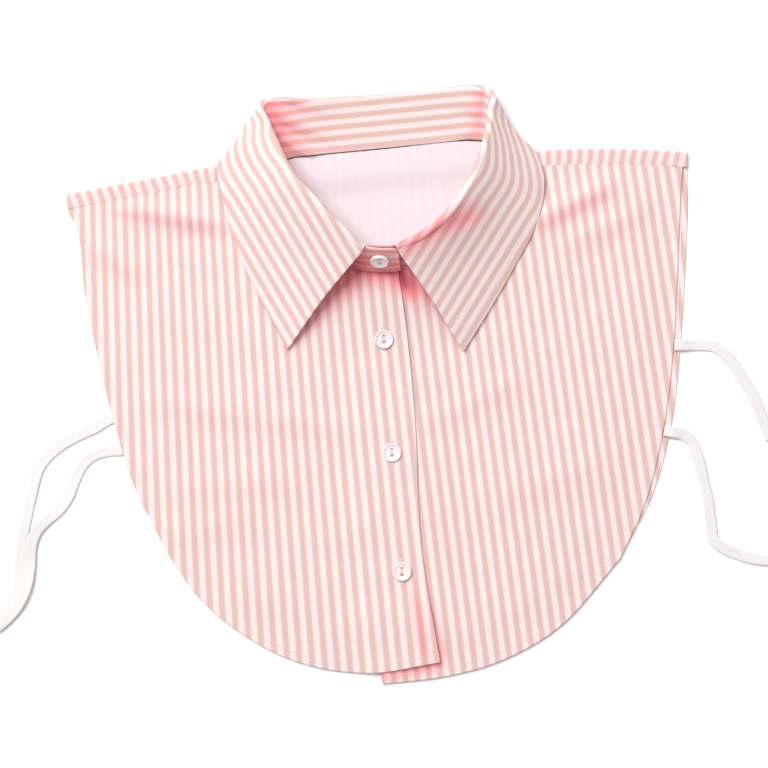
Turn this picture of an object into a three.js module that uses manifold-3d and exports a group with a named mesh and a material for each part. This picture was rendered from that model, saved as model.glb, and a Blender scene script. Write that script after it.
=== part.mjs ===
// A striped half-shirt dickey lying flat, face up: a round-bottomed back panel, two buttoned
// front panels, a pointed shirt collar on a stand, four shirt buttons and four side tapes.
// Millimetres. X is to the right of the picture, Y to its top, Z up from the surface it lies on.

import * as THREE from 'three';
import { mergeVertices } from 'three/addons/utils/BufferGeometryUtils.js';
import Module from 'manifold-3d';

// Wall thicknesses and the clearance between pieces that touch.
const PANEL_WALL = 1.2;
const STRIP_WALL = 1.0;
const STAND_WALL = 1.8;
const LEAF_WALL = 1.6;
const TAPE_WALL = 1.0;
const TAPE_WIDTH = 6.6;
const GAP = 0.3;

// The middle of the garment in the outlines' own axes.
const GARMENT_MIDDLE = { x: 0.9, y: -0.2 };

// Heights of the middle of each flat layer above the surface.
const BACK_HEIGHT = PANEL_WALL / 2;
const FRONT_HEIGHT = BACK_HEIGHT + PANEL_WALL + GAP;
const LAP_RISE = PANEL_WALL + GAP;
const STRIP_HEIGHT = 2.6;
const LEAF_UNDER = 2.8;

// The shoulder strip: how wide it shows on top, the bend round the shoulder edge, and how far
// its lower lip reaches into the back.
const STRIP_WIDTH = 9;
const BEND_RADIUS = 1.0;
const BEND_STEPS = 4;
const BEND_INSET = BEND_RADIUS + STRIP_WALL / 2;
const STRIP_TUCK = 1.6;

// The back climbs by LEAF_UNDER over the hidden half of the collar. The climb begins rampFar
// below the line of the neck, is full at rampNear, and fades out past each end of the neck.
const BACK_CLIMB = {
  neck: { fromX: -58, fromY: 133.6, toX: 70, toY: 146.2 },
  rampNear: 11,
  rampFar: 27,
  left: { none: -84, full: -70 },
  right: { full: 80, none: 94 },
};

// The over front starts to lift before the edge of the under front and is up just short of it.
const LAP_RAMP = { start: -14, end: -2 };

// The fronts hang from the shoulder seams and the stand's seam, and sink to the back over a
// drape as wide as FRONT_DRAPE. The rows are the rows of STAND between which each is sewn on.
const FRONT_DRAPE = 66;
const NECK_CLEARANCE = STAND_WALL / 2 + 2 * GAP;
const SEAM_GAP = 2 * GAP;
const OVER_ROWS = { shoulder: 7.8, end: 0.2 };
const UNDER_ROWS = { shoulder: 16.1, end: 23.7 };
const UNDER_SEAM_SHARE = 0.975;

// How much of a panel's top side each part of it takes up.
const BACK_TOP_SHARES = { left: 0.35, neck: 0.35, right: 0.3 };
const FRONT_TOP_SHARES = { shoulder: 0.45, neck: 0.55 };

// The roll of the collar over the top of its stand.
const ROLL_RADIUS = 1.9;
const ROLL_STEPS = 4;

// A shirt button of size 18: a saucer with a rim and two thread holes.
const BUTTON_EASE = 0.1;
const BUTTON = { radius: 5.7, height: 2.4, hole: 0.9, spacing: 3.4, sides: 24, holeSides: 8 };
const BUTTON_PROFILE = [
  { radius: 0, height: 0 },
  { radius: 4.5, height: 0 },
  { radius: BUTTON.radius, height: 1.1 },
  { radius: 5.3, height: BUTTON.height },
  { radius: 4.6, height: BUTTON.height },
  { radius: 4, height: 1.6 },
  { radius: 0, height: 1.6 },
];

// Grid steps of the faceted pieces. The rows of a panel crowd towards one of its ends by
// ROW_CROWDING, towards the neck on the fronts and towards the hem on the back.
const PANEL_STEPS = { across: 24, down: 14 };
const STAND_STEPS = { around: 62, up: 3 };
const LEAF_STEPS = { around: 54, down: 5 };
const STRIP_STEPS = 14;
const TAPE_STEPS = 26;
const ROW_CROWDING = 0.5;
const NECK_SAMPLES = 120;
const LENGTH_SAMPLES = 400;
const TANGENT_STEP = 1e-3;
const WELD = 1e-4;

// Outlines, seen from above. Each table runs in the order of its name.
const SHOULDER_LEFT = [
  { x: -184.8, y: 114 },
  { x: -139, y: 122.5 },
  { x: -94, y: 130.4 },
  { x: -76, y: 128 },
  { x: -60.6, y: 129.6 },
];
const SHOULDER_RIGHT = [
  { x: 73, y: 140.4 },
  { x: 86, y: 138 },
  { x: 101, y: 140 },
  { x: 144, y: 141 },
  { x: 186, y: 139.2 },
];
const BACK_NECKLINE = [
  { x: -58, y: 133.4 },
  { x: -40, y: 136 },
  { x: 4, y: 140.2 },
  { x: 50, y: 145 },
  { x: 70, y: 144.6 },
];
const LEFT_SIDE = [
  { x: -184.8, y: 114 },
  { x: -178.2, y: 91 },
  { x: -174, y: 53 },
  { x: -165.6, y: 13 },
  { x: -156, y: -25 },
  { x: -144.6, y: -61 },
  { x: -124.8, y: -101 },
];
const LEFT_HEM = [
  { x: -124.8, y: -101 },
  { x: -106, y: -127.5 },
  { x: -80, y: -149.5 },
  { x: -46, y: -166.5 },
  { x: -5, y: -172.8 },
  { x: 38, y: -166.2 },
];
const PLACKET_EDGE = [
  { x: 15.6, y: 64.2 },
  { x: 18, y: 32.5 },
  { x: 23, y: -20 },
  { x: 27, y: -97 },
  { x: 38, y: -166.2 },
];
const UNDER_EDGE = [
  { x: -9, y: 64.2 },
  { x: -8, y: 32.5 },
  { x: -5, y: -50 },
  { x: 4.2, y: -179.4 },
];
const RIGHT_SIDE = [
  { x: 181.8, y: 138 },
  { x: 181.8, y: 104 },
  { x: 178.2, y: 26.4 },
  { x: 172.6, y: -23 },
  { x: 161.4, y: -70 },
  { x: 146.4, y: -104 },
];
const RIGHT_HEM = [
  { x: 4.2, y: -179.4 },
  { x: 43, y: -174.6 },
  { x: 76, y: -165 },
  { x: 110, y: -145 },
  { x: 146.4, y: -104 },
];
const BACK_LEFT_SIDE = [
  { x: -184.8, y: 114 },
  { x: -176.4, y: 91 },
  { x: -172, y: 53 },
  { x: -154, y: -25 },
  { x: -142, y: -60.6 },
  { x: -122.6, y: -99.6 },
];
const BACK_RIGHT_SIDE = [
  { x: 186, y: 139.2 },
  { x: 186.6, y: 110 },
  { x: 182.4, y: 26.4 },
  { x: 177.4, y: -21 },
  { x: 166.4, y: -64 },
  { x: 148.4, y: -100.6 },
];
const BACK_HEM = [
  { x: -122.6, y: -99.6 },
  { x: -103.6, y: -125.6 },
  { x: -79, y: -147.2 },
  { x: -45, y: -163.8 },
  { x: -5, y: -170.4 },
  { x: 38, y: -169.6 },
  { x: 75, y: -161.6 },
  { x: 111, y: -139.8 },
  { x: 148.4, y: -100.6 },
];

// The collar stand, from the end that buttons on top, round the back of the neck, to the end
// beneath. Its fold is the top edge, its seam the lower one; lap lifts an end off the other.
const STAND = [
  { foldX: 14, foldY: 77, foldZ: 26.5, seamX: 15.4, seamY: 68.8, seamZ: 10.4, lap: 1.15 },
  { foldX: 12, foldY: 80, foldZ: 29, seamX: 12.6, seamY: 68.6, seamZ: 10.4, lap: 1.15 },
  { foldX: 2.4, foldY: 80.4, foldZ: 29.6, seamX: 2, seamY: 68.2, seamZ: 10.6, lap: 1.15 },
  { foldX: -7, foldY: 82, foldZ: 30.4, seamX: -10.4, seamY: 69.8, seamZ: 10, lap: 1.1 },
  { foldX: -19, foldY: 92, foldZ: 31, seamX: -25, seamY: 75, seamZ: 8.6, lap: 0.3 },
  { foldX: -34.6, foldY: 107.8, foldZ: 30, seamX: -41.4, seamY: 85.2, seamZ: 6.8, lap: 0 },
  { foldX: -48, foldY: 122.8, foldZ: 26.6, seamX: -52, seamY: 97.6, seamZ: 5.8, lap: 0 },
  { foldX: -55.6, foldY: 136.8, foldZ: 21.6, seamX: -57.2, seamY: 110.6, seamZ: 5.4, lap: 0 },
  { foldX: -62.2, foldY: 152.4, foldZ: 16, seamX: -58.4, seamY: 123.4, seamZ: 5, lap: 0 },
  { foldX: -67, foldY: 165.2, foldZ: 12.2, seamX: -56, seamY: 134, seamZ: 5, lap: 0 },
  { foldX: -61.6, foldY: 168.6, foldZ: 10.2, seamX: -48.6, seamY: 136.8, seamZ: 3.9, lap: 0 },
  { foldX: -40, foldY: 168.8, foldZ: 9.2, seamX: -34, seamY: 138.2, seamZ: 3.8, lap: 0 },
  { foldX: -4, foldY: 171.2, foldZ: 8.6, seamX: 2, seamY: 141.6, seamZ: 3.8, lap: 0 },
  { foldX: 40, foldY: 173.8, foldZ: 9, seamX: 42, seamY: 145.6, seamZ: 3.8, lap: 0 },
  { foldX: 61.4, foldY: 175, foldZ: 10.2, seamX: 58.6, seamY: 147.2, seamZ: 3.9, lap: 0 },
  { foldX: 67.2, foldY: 171.2, foldZ: 12.2, seamX: 67.6, seamY: 144.6, seamZ: 5, lap: 0 },
  { foldX: 66.8, foldY: 158.6, foldZ: 16, seamX: 70.8, seamY: 131.6, seamZ: 5, lap: 0 },
  { foldX: 64.4, foldY: 145.4, foldZ: 21.4, seamX: 70.4, seamY: 119, seamZ: 5.4, lap: 0 },
  { foldX: 59.4, foldY: 129.6, foldZ: 26, seamX: 66, seamY: 106.4, seamZ: 5.8, lap: 0 },
  { foldX: 51.6, foldY: 113.8, foldZ: 29, seamX: 58, seamY: 94.4, seamZ: 6.6, lap: 0 },
  { foldX: 40.2, foldY: 99.4, foldZ: 31, seamX: 46.6, seamY: 82.6, seamZ: 8, lap: 0 },
  { foldX: 26.4, foldY: 88, foldZ: 30.8, seamX: 31, seamY: 73.8, seamZ: 9.4, lap: -0.6 },
  { foldX: 12.6, foldY: 81.4, foldZ: 30, seamX: 14, seamY: 69, seamZ: 10.2, lap: -1.15 },
  { foldX: 2, foldY: 80.6, foldZ: 29.6, seamX: 1, seamY: 68.2, seamZ: 10.6, lap: -1.15 },
  { foldX: -5, foldY: 80.8, foldZ: 29, seamX: -7, seamY: 69.2, seamZ: 10.4, lap: -1.15 },
];

// The collar leaf hangs from the stand's fold, from row 3 to row 22 of the stand. turn is a point
// that its slope passes, edge is its outer edge, which goes round the neck end of each shoulder
// and lies flat beneath the back.
const LEAF_FIRST_ROW = 3;
const LEAF = [
  { turnX: -31, turnY: 52, turnZ: 17, edgeX: -52.8, edgeY: 21.6, edgeZ: 5.8 },
  { turnX: -43, turnY: 70, turnZ: 17, edgeX: -66, edgeY: 46.4, edgeZ: 5.8 },
  { turnX: -57, turnY: 90, turnZ: 16.5, edgeX: -78, edgeY: 70.4, edgeZ: 5.8 },
  { turnX: -68.4, turnY: 108, turnZ: 15.5, edgeX: -87, edgeY: 94, edgeZ: 5.7 },
  { turnX: -76, turnY: 125.4, turnZ: 13, edgeX: -92, edgeY: 114.6, edgeZ: 5.6 },
  { turnX: -81.4, turnY: 145, turnZ: 9, edgeX: -93, edgeY: 134, edgeZ: 3.2 },
  { turnX: -73.4, turnY: 159.6, turnZ: 4.4, edgeX: -73, edgeY: 131.8, edgeZ: 1.1 },
  { turnX: -63, turnY: 158.6, turnZ: 2.4, edgeX: -56, edgeY: 129.4, edgeZ: 1.1 },
  { turnX: -40, turnY: 157.6, turnZ: 2, edgeX: -38, edgeY: 128.4, edgeZ: 1.1 },
  { turnX: -3, turnY: 159.6, turnZ: 2, edgeX: -1, edgeY: 131, edgeZ: 1.1 },
  { turnX: 41, turnY: 162, turnZ: 2, edgeX: 43, edgeY: 135, edgeZ: 1.1 },
  { turnX: 64, turnY: 164, turnZ: 2.4, edgeX: 62, edgeY: 138, edgeZ: 1.1 },
  { turnX: 74.4, turnY: 162.6, turnZ: 4.4, edgeX: 77, edgeY: 142.6, edgeZ: 1.1 },
  { turnX: 82.4, turnY: 149.6, turnZ: 9, edgeX: 91.6, edgeY: 142.6, edgeZ: 3.2 },
  { turnX: 83.4, turnY: 134, turnZ: 13, edgeX: 99.4, edgeY: 126.4, edgeZ: 5.6 },
  { turnX: 80.4, turnY: 120, turnZ: 15.5, edgeX: 99.4, edgeY: 111, edgeZ: 5.7 },
  { turnX: 74.4, turnY: 104, turnZ: 16.5, edgeX: 94, edgeY: 92.4, edgeZ: 5.8 },
  { turnX: 63.4, turnY: 87, turnZ: 16.8, edgeX: 83.4, edgeY: 72.4, edgeZ: 5.8 },
  { turnX: 49, turnY: 69.4, turnZ: 17, edgeX: 69, edgeY: 47.4, edgeZ: 5.8 },
  { turnX: 33, turnY: 51.6, turnZ: 17, edgeX: 52.2, edgeY: 20.4, edgeZ: 5.8 },
];

// Places of the buttons. The one at the neck lies on the slope of the stand.
const FRONT_BUTTONS = [
  { name: 'button_1', x: 4.8, y: 27 },
  { name: 'button_2', x: 9.6, y: -41 },
  { name: 'button_3', x: 15.6, y: -112.2 },
];
const PLUMB_HEIGHT = 200;
const NECK_BUTTON_ROW = 2;
const NECK_BUTTON_HEIGHT_SHARE = 0.6;

// Routes of the four flat tapes, from the side of the garment to the free end.
const TAPES = {
  tie_left_front: [
    { x: -157, y: -20, z: 0.6 },
    { x: -161, y: -21.6, z: 0.6 },
    { x: -168, y: -26, z: 0.6 },
    { x: -177.6, y: -30.4, z: 0.6 },
    { x: -187.4, y: -35.8, z: 0.6 },
    { x: -196.4, y: -43, z: 0.6 },
    { x: -202.4, y: -51, z: 0.6 },
    { x: -205.4, y: -61, z: 0.6 },
    { x: -209, y: -77, z: 0.6 },
    { x: -212.4, y: -95, z: 0.6 },
    { x: -213.6, y: -112, z: 0.6 },
    { x: -216.4, y: -127, z: 0.6 },
    { x: -222, y: -136.4, z: 0.6 },
    { x: -228, y: -142, z: 0.6 },
  ],
  tie_left_back: [
    { x: -152, y: -39.6, z: 0.6 },
    { x: -160, y: -40.2, z: 0.6 },
    { x: -168.6, y: -42.4, z: 0.6 },
    { x: -175.8, y: -48.4, z: 0.6 },
    { x: -180.6, y: -57.4, z: 0.6 },
    { x: -184.8, y: -68, z: 0.6 },
    { x: -190.6, y: -76, z: 0.8 },
    { x: -197.8, y: -82, z: 1.5 },
    { x: -203.6, y: -88.4, z: 1.95 },
    { x: -206.6, y: -97, z: 1.95 },
    { x: -207.4, y: -109, z: 1.95 },
    { x: -209.4, y: -121, z: 1.95 },
    { x: -214, y: -131.6, z: 1.95 },
    { x: -220.6, y: -140, z: 1.95 },
    { x: -228, y: -146.4, z: 1.95 },
  ],
  tie_right_front: [
    { x: 178.8, y: 23.4, z: 2.1 },
    { x: 183.6, y: 23.4, z: 2.1 },
    { x: 189, y: 23.4, z: 1 },
    { x: 194.4, y: 23.4, z: 0.6 },
    { x: 203.4, y: 22.2, z: 0.6 },
    { x: 211.2, y: 16, z: 0.6 },
    { x: 218.4, y: 5.4, z: 0.6 },
    { x: 225.6, y: -6, z: 0.6 },
    { x: 230.8, y: -18, z: 0.6 },
    { x: 237, y: -33, z: 0.6 },
  ],
  tie_right_back: [
    { x: 172.6, y: -27.8, z: 2.1 },
    { x: 178, y: -28.8, z: 2.1 },
    { x: 183.6, y: -30, z: 1 },
    { x: 188.4, y: -33.6, z: 0.6 },
    { x: 192.6, y: -43, z: 0.6 },
    { x: 196.2, y: -57.6, z: 0.6 },
    { x: 199.2, y: -70, z: 0.6 },
    { x: 201, y: -84.6, z: 0.6 },
    { x: 202.4, y: -92.8, z: 0.6 },
    { x: 207.6, y: -98, z: 0.6 },
    { x: 218.4, y: -102.6, z: 0.6 },
    { x: 228, y: -104.8, z: 0.6 },
    { x: 237, y: -105.8, z: 0.6 },
  ],
};

// Finishes: yarn-dyed shirting, its paler wrong side, pearl-like buttons and white cotton tape.
const CLOTH = { color: 0xf5dfdb, roughness: 0.9, metalness: 0 };
const CLOTH_SHADE = { color: 0xefd3ce, roughness: 0.9, metalness: 0 };
const PEARL = { color: 0xf7f1ee, roughness: 0.25, metalness: 0 };
const TAPE = { color: 0xf8f7f6, roughness: 0.95, metalness: 0 };

const wasm = await Module();
wasm.setup();

const dickey = new THREE.Group();

function smooth(low, high, value) {
  return THREE.MathUtils.smoothstep(value, low, high);
}

// A smooth curve through the rows of a table, read by its length or by its rows.
function curveThrough(rows, keys = ['x', 'y', 'z']) {
  const points = rows.map((row) => new THREE.Vector3(...keys.map((key) => row[key] ?? 0)));
  return new THREE.CatmullRomCurve3(points, false, 'centripetal');
}

function byLength(curve) {
  curve.arcLengthDivisions = LENGTH_SAMPLES;
  return (t) => curve.getPointAt(THREE.MathUtils.clamp(t, 0, 1));
}

// Joins curves end to end as one side of a patch; share is where one gives way to the next.
function joined(parts) {
  return (t) => {
    let start = 0;
    for (const part of parts) {
      const end = start + part.share;
      if (t <= end || part === parts[parts.length - 1]) {
        return part.at((t - start) / part.share);
      }
      start = end;
    }
    return null;
  };
}

// A patch between four sides: top and bottom run left to right, left and right run down.
function patch(top, bottom, left, right) {
  const corners = [top(0), top(1), bottom(0), bottom(1)];
  return (u, v) => {
    const point = new THREE.Vector3();
    point.addScaledVector(top(u), 1 - v);
    point.addScaledVector(bottom(u), v);
    point.addScaledVector(left(v), 1 - u);
    point.addScaledVector(right(v), u);
    point.addScaledVector(corners[0], -(1 - u) * (1 - v));
    point.addScaledVector(corners[1], -u * (1 - v));
    point.addScaledVector(corners[2], -(1 - u) * v);
    point.addScaledVector(corners[3], -u * v);
    return point;
  };
}

function gridOf(columns, rows, pointAt) {
  const grid = [];
  for (let i = 0; i <= columns; i += 1) {
    const line = [];
    for (let j = 0; j <= rows; j += 1) {
      line.push(pointAt(i / columns, j / rows));
    }
    grid.push(line);
  }
  return grid;
}

function gridNormal(grid, i, j) {
  const before = grid[Math.max(i - 1, 0)][j];
  const after = grid[Math.min(i + 1, grid.length - 1)][j];
  const above = grid[i][Math.max(j - 1, 0)];
  const below = grid[i][Math.min(j + 1, grid[i].length - 1)];
  const along = after.clone().sub(before);
  const across = below.clone().sub(above);
  return along.cross(across).normalize();
}

// A closed wall of even thickness about a grid of points. The wall is laid off along the
// surface's own normals, or straight up and down where a panel has to stay level.
function wall(grid, thickness, level = false) {
  const columns = grid.length;
  const rows = grid[0].length;
  const positions = [];
  for (const side of [0.5, -0.5]) {
    for (let i = 0; i < columns; i += 1) {
      for (let j = 0; j < rows; j += 1) {
        const normal = level ? new THREE.Vector3(0, 0, 1) : gridNormal(grid, i, j);
        const point = grid[i][j].clone().addScaledVector(normal, side * thickness);
        positions.push(point.x, point.y, point.z);
      }
    }
  }
  const index = [];
  const quad = (a, b, c, d) => index.push(a, b, c, a, c, d);
  const at = (i, j) => i * rows + j;
  const under = (i, j) => columns * rows + at(i, j);
  for (let i = 0; i < columns - 1; i += 1) {
    for (let j = 0; j < rows - 1; j += 1) {
      quad(at(i, j), at(i + 1, j), at(i + 1, j + 1), at(i, j + 1));
      quad(under(i, j), under(i, j + 1), under(i + 1, j + 1), under(i + 1, j));
    }
  }
  for (let i = 0; i < columns - 1; i += 1) {
    quad(at(i, 0), under(i, 0), under(i + 1, 0), at(i + 1, 0));
    quad(at(i, rows - 1), at(i + 1, rows - 1), under(i + 1, rows - 1), under(i, rows - 1));
  }
  const last = columns - 1;
  for (let j = 0; j < rows - 1; j += 1) {
    quad(at(0, j), at(0, j + 1), under(0, j + 1), under(0, j));
    quad(at(last, j), under(last, j), under(last, j + 1), at(last, j + 1));
  }
  const geometry = new THREE.BufferGeometry();
  geometry.setAttribute('position', new THREE.Float32BufferAttribute(positions, 3));
  geometry.setIndex(index);
  return facingOut(geometry);
}

function signedVolume(geometry) {
  const position = geometry.getAttribute('position');
  const index = geometry.getIndex();
  const corner = [new THREE.Vector3(), new THREE.Vector3(), new THREE.Vector3()];
  let volume = 0;
  for (let i = 0; i < index.count; i += 3) {
    corner.forEach((point, k) => point.fromBufferAttribute(position, index.getX(i + k)));
    volume += corner[0].dot(corner[1].cross(corner[2])) / 6;
  }
  return volume;
}

function facingOut(geometry) {
  if (signedVolume(geometry) < 0) {
    const index = geometry.getIndex();
    for (let i = 0; i < index.count; i += 3) {
      const second = index.getX(i + 1);
      index.setX(i + 1, index.getX(i + 2));
      index.setX(i + 2, second);
    }
  }
  return geometry;
}

function toSolid(geometry) {
  const bare = geometry.clone();
  bare.deleteAttribute('normal');
  bare.deleteAttribute('uv');
  const merged = mergeVertices(bare, WELD);
  return new wasm.Manifold(new wasm.Mesh({
    numProp: 3,
    vertProperties: Float32Array.from(merged.getAttribute('position').array),
    triVerts: Uint32Array.from(merged.getIndex().array),
  }));
}

function toGeometry(solid) {
  const mesh = solid.getMesh();
  const position = new THREE.BufferAttribute(Float32Array.from(mesh.vertProperties), 3);
  const geometry = new THREE.BufferGeometry();
  geometry.setAttribute('position', position);
  geometry.setIndex(new THREE.BufferAttribute(Uint32Array.from(mesh.triVerts), 1));
  return geometry;
}

function addPiece(name, geometry, finish) {
  const flat = geometry.clone();
  flat.computeVertexNormals();
  const mesh = new THREE.Mesh(flat, new THREE.MeshStandardMaterial({ ...finish, flatShading: true }));
  mesh.name = name;
  dickey.add(mesh);
  return mesh;
}

// The back lies on the surface, and climbs over the hidden half of the collar at the neck.
function backRise(x, y) {
  const { neck, rampNear, rampFar, left, right } = BACK_CLIMB;
  const neckY = THREE.MathUtils.mapLinear(x, neck.fromX, neck.toX, neck.fromY, neck.toY);
  const nearNeck = 1 - smooth(rampNear, rampFar, neckY - y);
  const leftEnd = smooth(left.none, left.full, x);
  const rightEnd = 1 - smooth(right.full, right.none, x);
  return LEAF_UNDER * nearNeck * leftEnd * rightEnd;
}

function buildBack() {
  const inset = (rows) => rows.map((row) => ({ x: row.x, y: row.y - BEND_INSET }));
  const top = joined([
    { at: byLength(curveThrough(inset(SHOULDER_LEFT))), share: BACK_TOP_SHARES.left },
    { at: byLength(curveThrough(BACK_NECKLINE)), share: BACK_TOP_SHARES.neck },
    { at: byLength(curveThrough(inset(SHOULDER_RIGHT))), share: BACK_TOP_SHARES.right },
  ]);
  const left = sideFrom(top(0), BACK_LEFT_SIDE);
  const right = sideFrom(top(1), BACK_RIGHT_SIDE);
  const surface = patch(top, byLength(curveThrough(BACK_HEM)), left, right);
  const grid = gridOf(PANEL_STEPS.across, PANEL_STEPS.down, (u, v) => {
    const point = surface(u, v * (1 + ROW_CROWDING * (1 - v)));
    point.z = BACK_HEIGHT + backRise(point.x, point.y);
    return point;
  });
  const sheet = toSolid(wall(grid, PANEL_WALL, true));
  const strips = [SHOULDER_LEFT, SHOULDER_RIGHT].map((rows) => toSolid(shoulderStrip(rows)));
  return toGeometry(sheet.add(strips[0]).add(strips[1]));
}

// The strip that comes over the shoulder edge, bent up from the back and laid on the front.
function shoulderStrip(rows) {
  const edge = curveThrough(rows);
  const bend = STRIP_HEIGHT - BACK_HEIGHT;
  const section = [{ inset: BEND_INSET + STRIP_TUCK, z: 0 }, { inset: BEND_INSET, z: 0 }];
  for (let k = 1; k < BEND_STEPS; k += 1) {
    const angle = (Math.PI * k) / BEND_STEPS;
    section.push({
      inset: BEND_INSET - BEND_RADIUS * Math.sin(angle),
      z: (bend / 2) * (1 - Math.cos(angle)),
    });
  }
  section.push({ inset: BEND_INSET, z: bend });
  section.push({ inset: STRIP_WIDTH, z: bend });
  const grid = gridOf(STRIP_STEPS, section.length - 1, (u, v) => {
    const point = edge.getPointAt(u);
    const row = section[Math.round(v * (section.length - 1))];
    point.z = BACK_HEIGHT + backRise(point.x, point.y - STRIP_WIDTH / 2) + row.z;
    point.y -= row.inset;
    return point;
  });
  return wall(grid, STRIP_WALL);
}

// Sections of the stand and of the leaf at a place t along the rows of the tables.
const standFold = curveThrough(STAND, ['foldX', 'foldY', 'foldZ']);
const standSeam = curveThrough(STAND, ['seamX', 'seamY', 'seamZ']);

function standSection(t) {
  const fold = standFold.getPoint(t);
  const seam = standSeam.getPoint(t);
  const along = standFold.getPoint(Math.min(t + TANGENT_STEP, 1));
  along.sub(standFold.getPoint(Math.max(t - TANGENT_STEP, 0))).normalize();
  const up = fold.clone().sub(seam);
  up.addScaledVector(along, -up.dot(along)).normalize();
  const out = up.clone().cross(along).normalize();
  const lap = lapAt(t);
  fold.addScaledVector(out, lap);
  seam.addScaledVector(out, lap);
  return { fold, seam, up, out };
}

function lapAt(t) {
  const place = t * (STAND.length - 1);
  const row = Math.min(Math.floor(place), STAND.length - 2);
  return THREE.MathUtils.lerp(STAND[row].lap, STAND[row + 1].lap, smooth(0, 1, place - row));
}

function buildStand() {
  const grid = gridOf(STAND_STEPS.around, STAND_STEPS.up, (t, v) => {
    const { fold, seam } = standSection(t);
    return seam.lerp(fold, v);
  });
  return wall(grid, STAND_WALL);
}

const leafTurn = curveThrough(LEAF, ['turnX', 'turnY', 'turnZ']);
const leafEdge = curveThrough(LEAF, ['edgeX', 'edgeY', 'edgeZ']);

function leafSection(t) {
  const row = LEAF_FIRST_ROW + t * (LEAF.length - 1);
  const { fold, up, out } = standSection(row / (STAND.length - 1));
  const turn = leafTurn.getPoint(t);
  const edge = leafEdge.getPoint(t);
  const points = [];
  for (let k = 0; k <= ROLL_STEPS; k += 1) {
    const angle = (Math.PI * k) / ROLL_STEPS;
    const rise = 2 * GAP + ROLL_RADIUS * Math.sin(angle);
    const reach = ROLL_RADIUS * (1 - Math.cos(angle));
    points.push(fold.clone().addScaledVector(up, rise).addScaledVector(out, reach));
  }
  points.push(turn, edge);
  return new THREE.CatmullRomCurve3(points, false, 'centripetal');
}

function buildLeaf() {
  const rollShare = ROLL_STEPS / (ROLL_STEPS + 2);
  const places = [];
  for (let k = 0; k <= ROLL_STEPS; k += 1) {
    places.push((rollShare * k) / ROLL_STEPS);
  }
  for (let k = 1; k <= LEAF_STEPS.down; k += 1) {
    places.push(rollShare + ((1 - rollShare) * k) / LEAF_STEPS.down);
  }
  const grid = [];
  for (let i = 0; i <= LEAF_STEPS.around; i += 1) {
    const section = leafSection(i / LEAF_STEPS.around);
    grid.push(places.map((place) => section.getPoint(place)));
  }
  return wall(grid, LEAF_WALL);
}

// A side that starts at the corner given and follows the rest of its table.
function sideFrom(corner, rows) {
  return byLength(curveThrough([{ x: corner.x, y: corner.y }, ...rows.slice(1)]));
}

function neckPoint(row) {
  const { seam, out } = standSection(row / (STAND.length - 1));
  const flatOut = new THREE.Vector3(out.x, out.y, 0).normalize();
  return seam.addScaledVector(flatOut, NECK_CLEARANCE);
}

function neckSide(firstRow, lastRow) {
  return (t) => neckPoint(THREE.MathUtils.lerp(firstRow, lastRow, t));
}

function seamSide(rows, first = 0, last = 1) {
  const curve = curveThrough(rows);
  return (t) => {
    const share = THREE.MathUtils.clamp(t, 0, 1);
    const point = curve.getPointAt(THREE.MathUtils.lerp(first, last, share));
    point.z = STRIP_HEIGHT + backRise(point.x, point.y - STRIP_WIDTH / 2);
    point.y -= STRIP_WIDTH + SEAM_GAP;
    return point;
  };
}

// The height of the top side that lies nearest to a place, and how far off it is.
function nearestTop(samples, x, y) {
  let best = null;
  let reach = Infinity;
  for (const sample of samples) {
    const distance = Math.hypot(sample.x - x, sample.y - y);
    if (distance < reach) {
      reach = distance;
      best = sample;
    }
  }
  return { height: best.z, distance: reach };
}

function buildFront(top, bottom, left, right, layer) {
  const surface = patch(top, bottom, left, right);
  const samples = [];
  for (let k = 0; k <= NECK_SAMPLES; k += 1) {
    samples.push(top(k / NECK_SAMPLES));
  }
  const grid = gridOf(PANEL_STEPS.across, PANEL_STEPS.down, (u, v) => {
    const point = surface(u, v * (1 - ROW_CROWDING * (1 - v)));
    const rest = FRONT_HEIGHT + layer(point.x, point.y);
    const near = nearestTop(samples, point.x, point.y);
    const hung = (1 - smooth(0, FRONT_DRAPE, near.distance)) ** 2;
    point.z = rest + Math.max(near.height - rest, 0) * hung;
    return point;
  });
  return wall(grid, PANEL_WALL, true);
}

const underEdge = curveThrough(UNDER_EDGE);

// How far the over front is lifted where it laps the under front.
function lapRise(x, y) {
  const share = THREE.MathUtils.mapLinear(y, UNDER_EDGE[0].y, UNDER_EDGE[3].y, 0, 1);
  const edgeX = underEdge.getPointAt(THREE.MathUtils.clamp(share, 0, 1)).x;
  return LAP_RISE * smooth(LAP_RAMP.start, LAP_RAMP.end, x - edgeX);
}

function buildFrontOver() {
  const seam = seamSide(SHOULDER_LEFT);
  const neck = neckSide(OVER_ROWS.shoulder, OVER_ROWS.end);
  const top = joined([
    { at: seam, share: FRONT_TOP_SHARES.shoulder },
    { at: neck, share: FRONT_TOP_SHARES.neck },
  ]);
  const left = sideFrom(top(0), LEFT_SIDE);
  const right = sideFrom(top(1), PLACKET_EDGE);
  return buildFront(top, byLength(curveThrough(LEFT_HEM)), left, right, lapRise);
}

function buildFrontUnder() {
  const neck = neckSide(UNDER_ROWS.end, UNDER_ROWS.shoulder);
  const seam = seamSide(SHOULDER_RIGHT, 0, UNDER_SEAM_SHARE);
  const top = joined([
    { at: neck, share: FRONT_TOP_SHARES.neck },
    { at: seam, share: FRONT_TOP_SHARES.shoulder },
  ]);
  const left = sideFrom(top(0), UNDER_EDGE);
  const right = sideFrom(top(1), RIGHT_SIDE);
  return buildFront(top, byLength(curveThrough(RIGHT_HEM)), left, right, () => 0);
}

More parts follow.
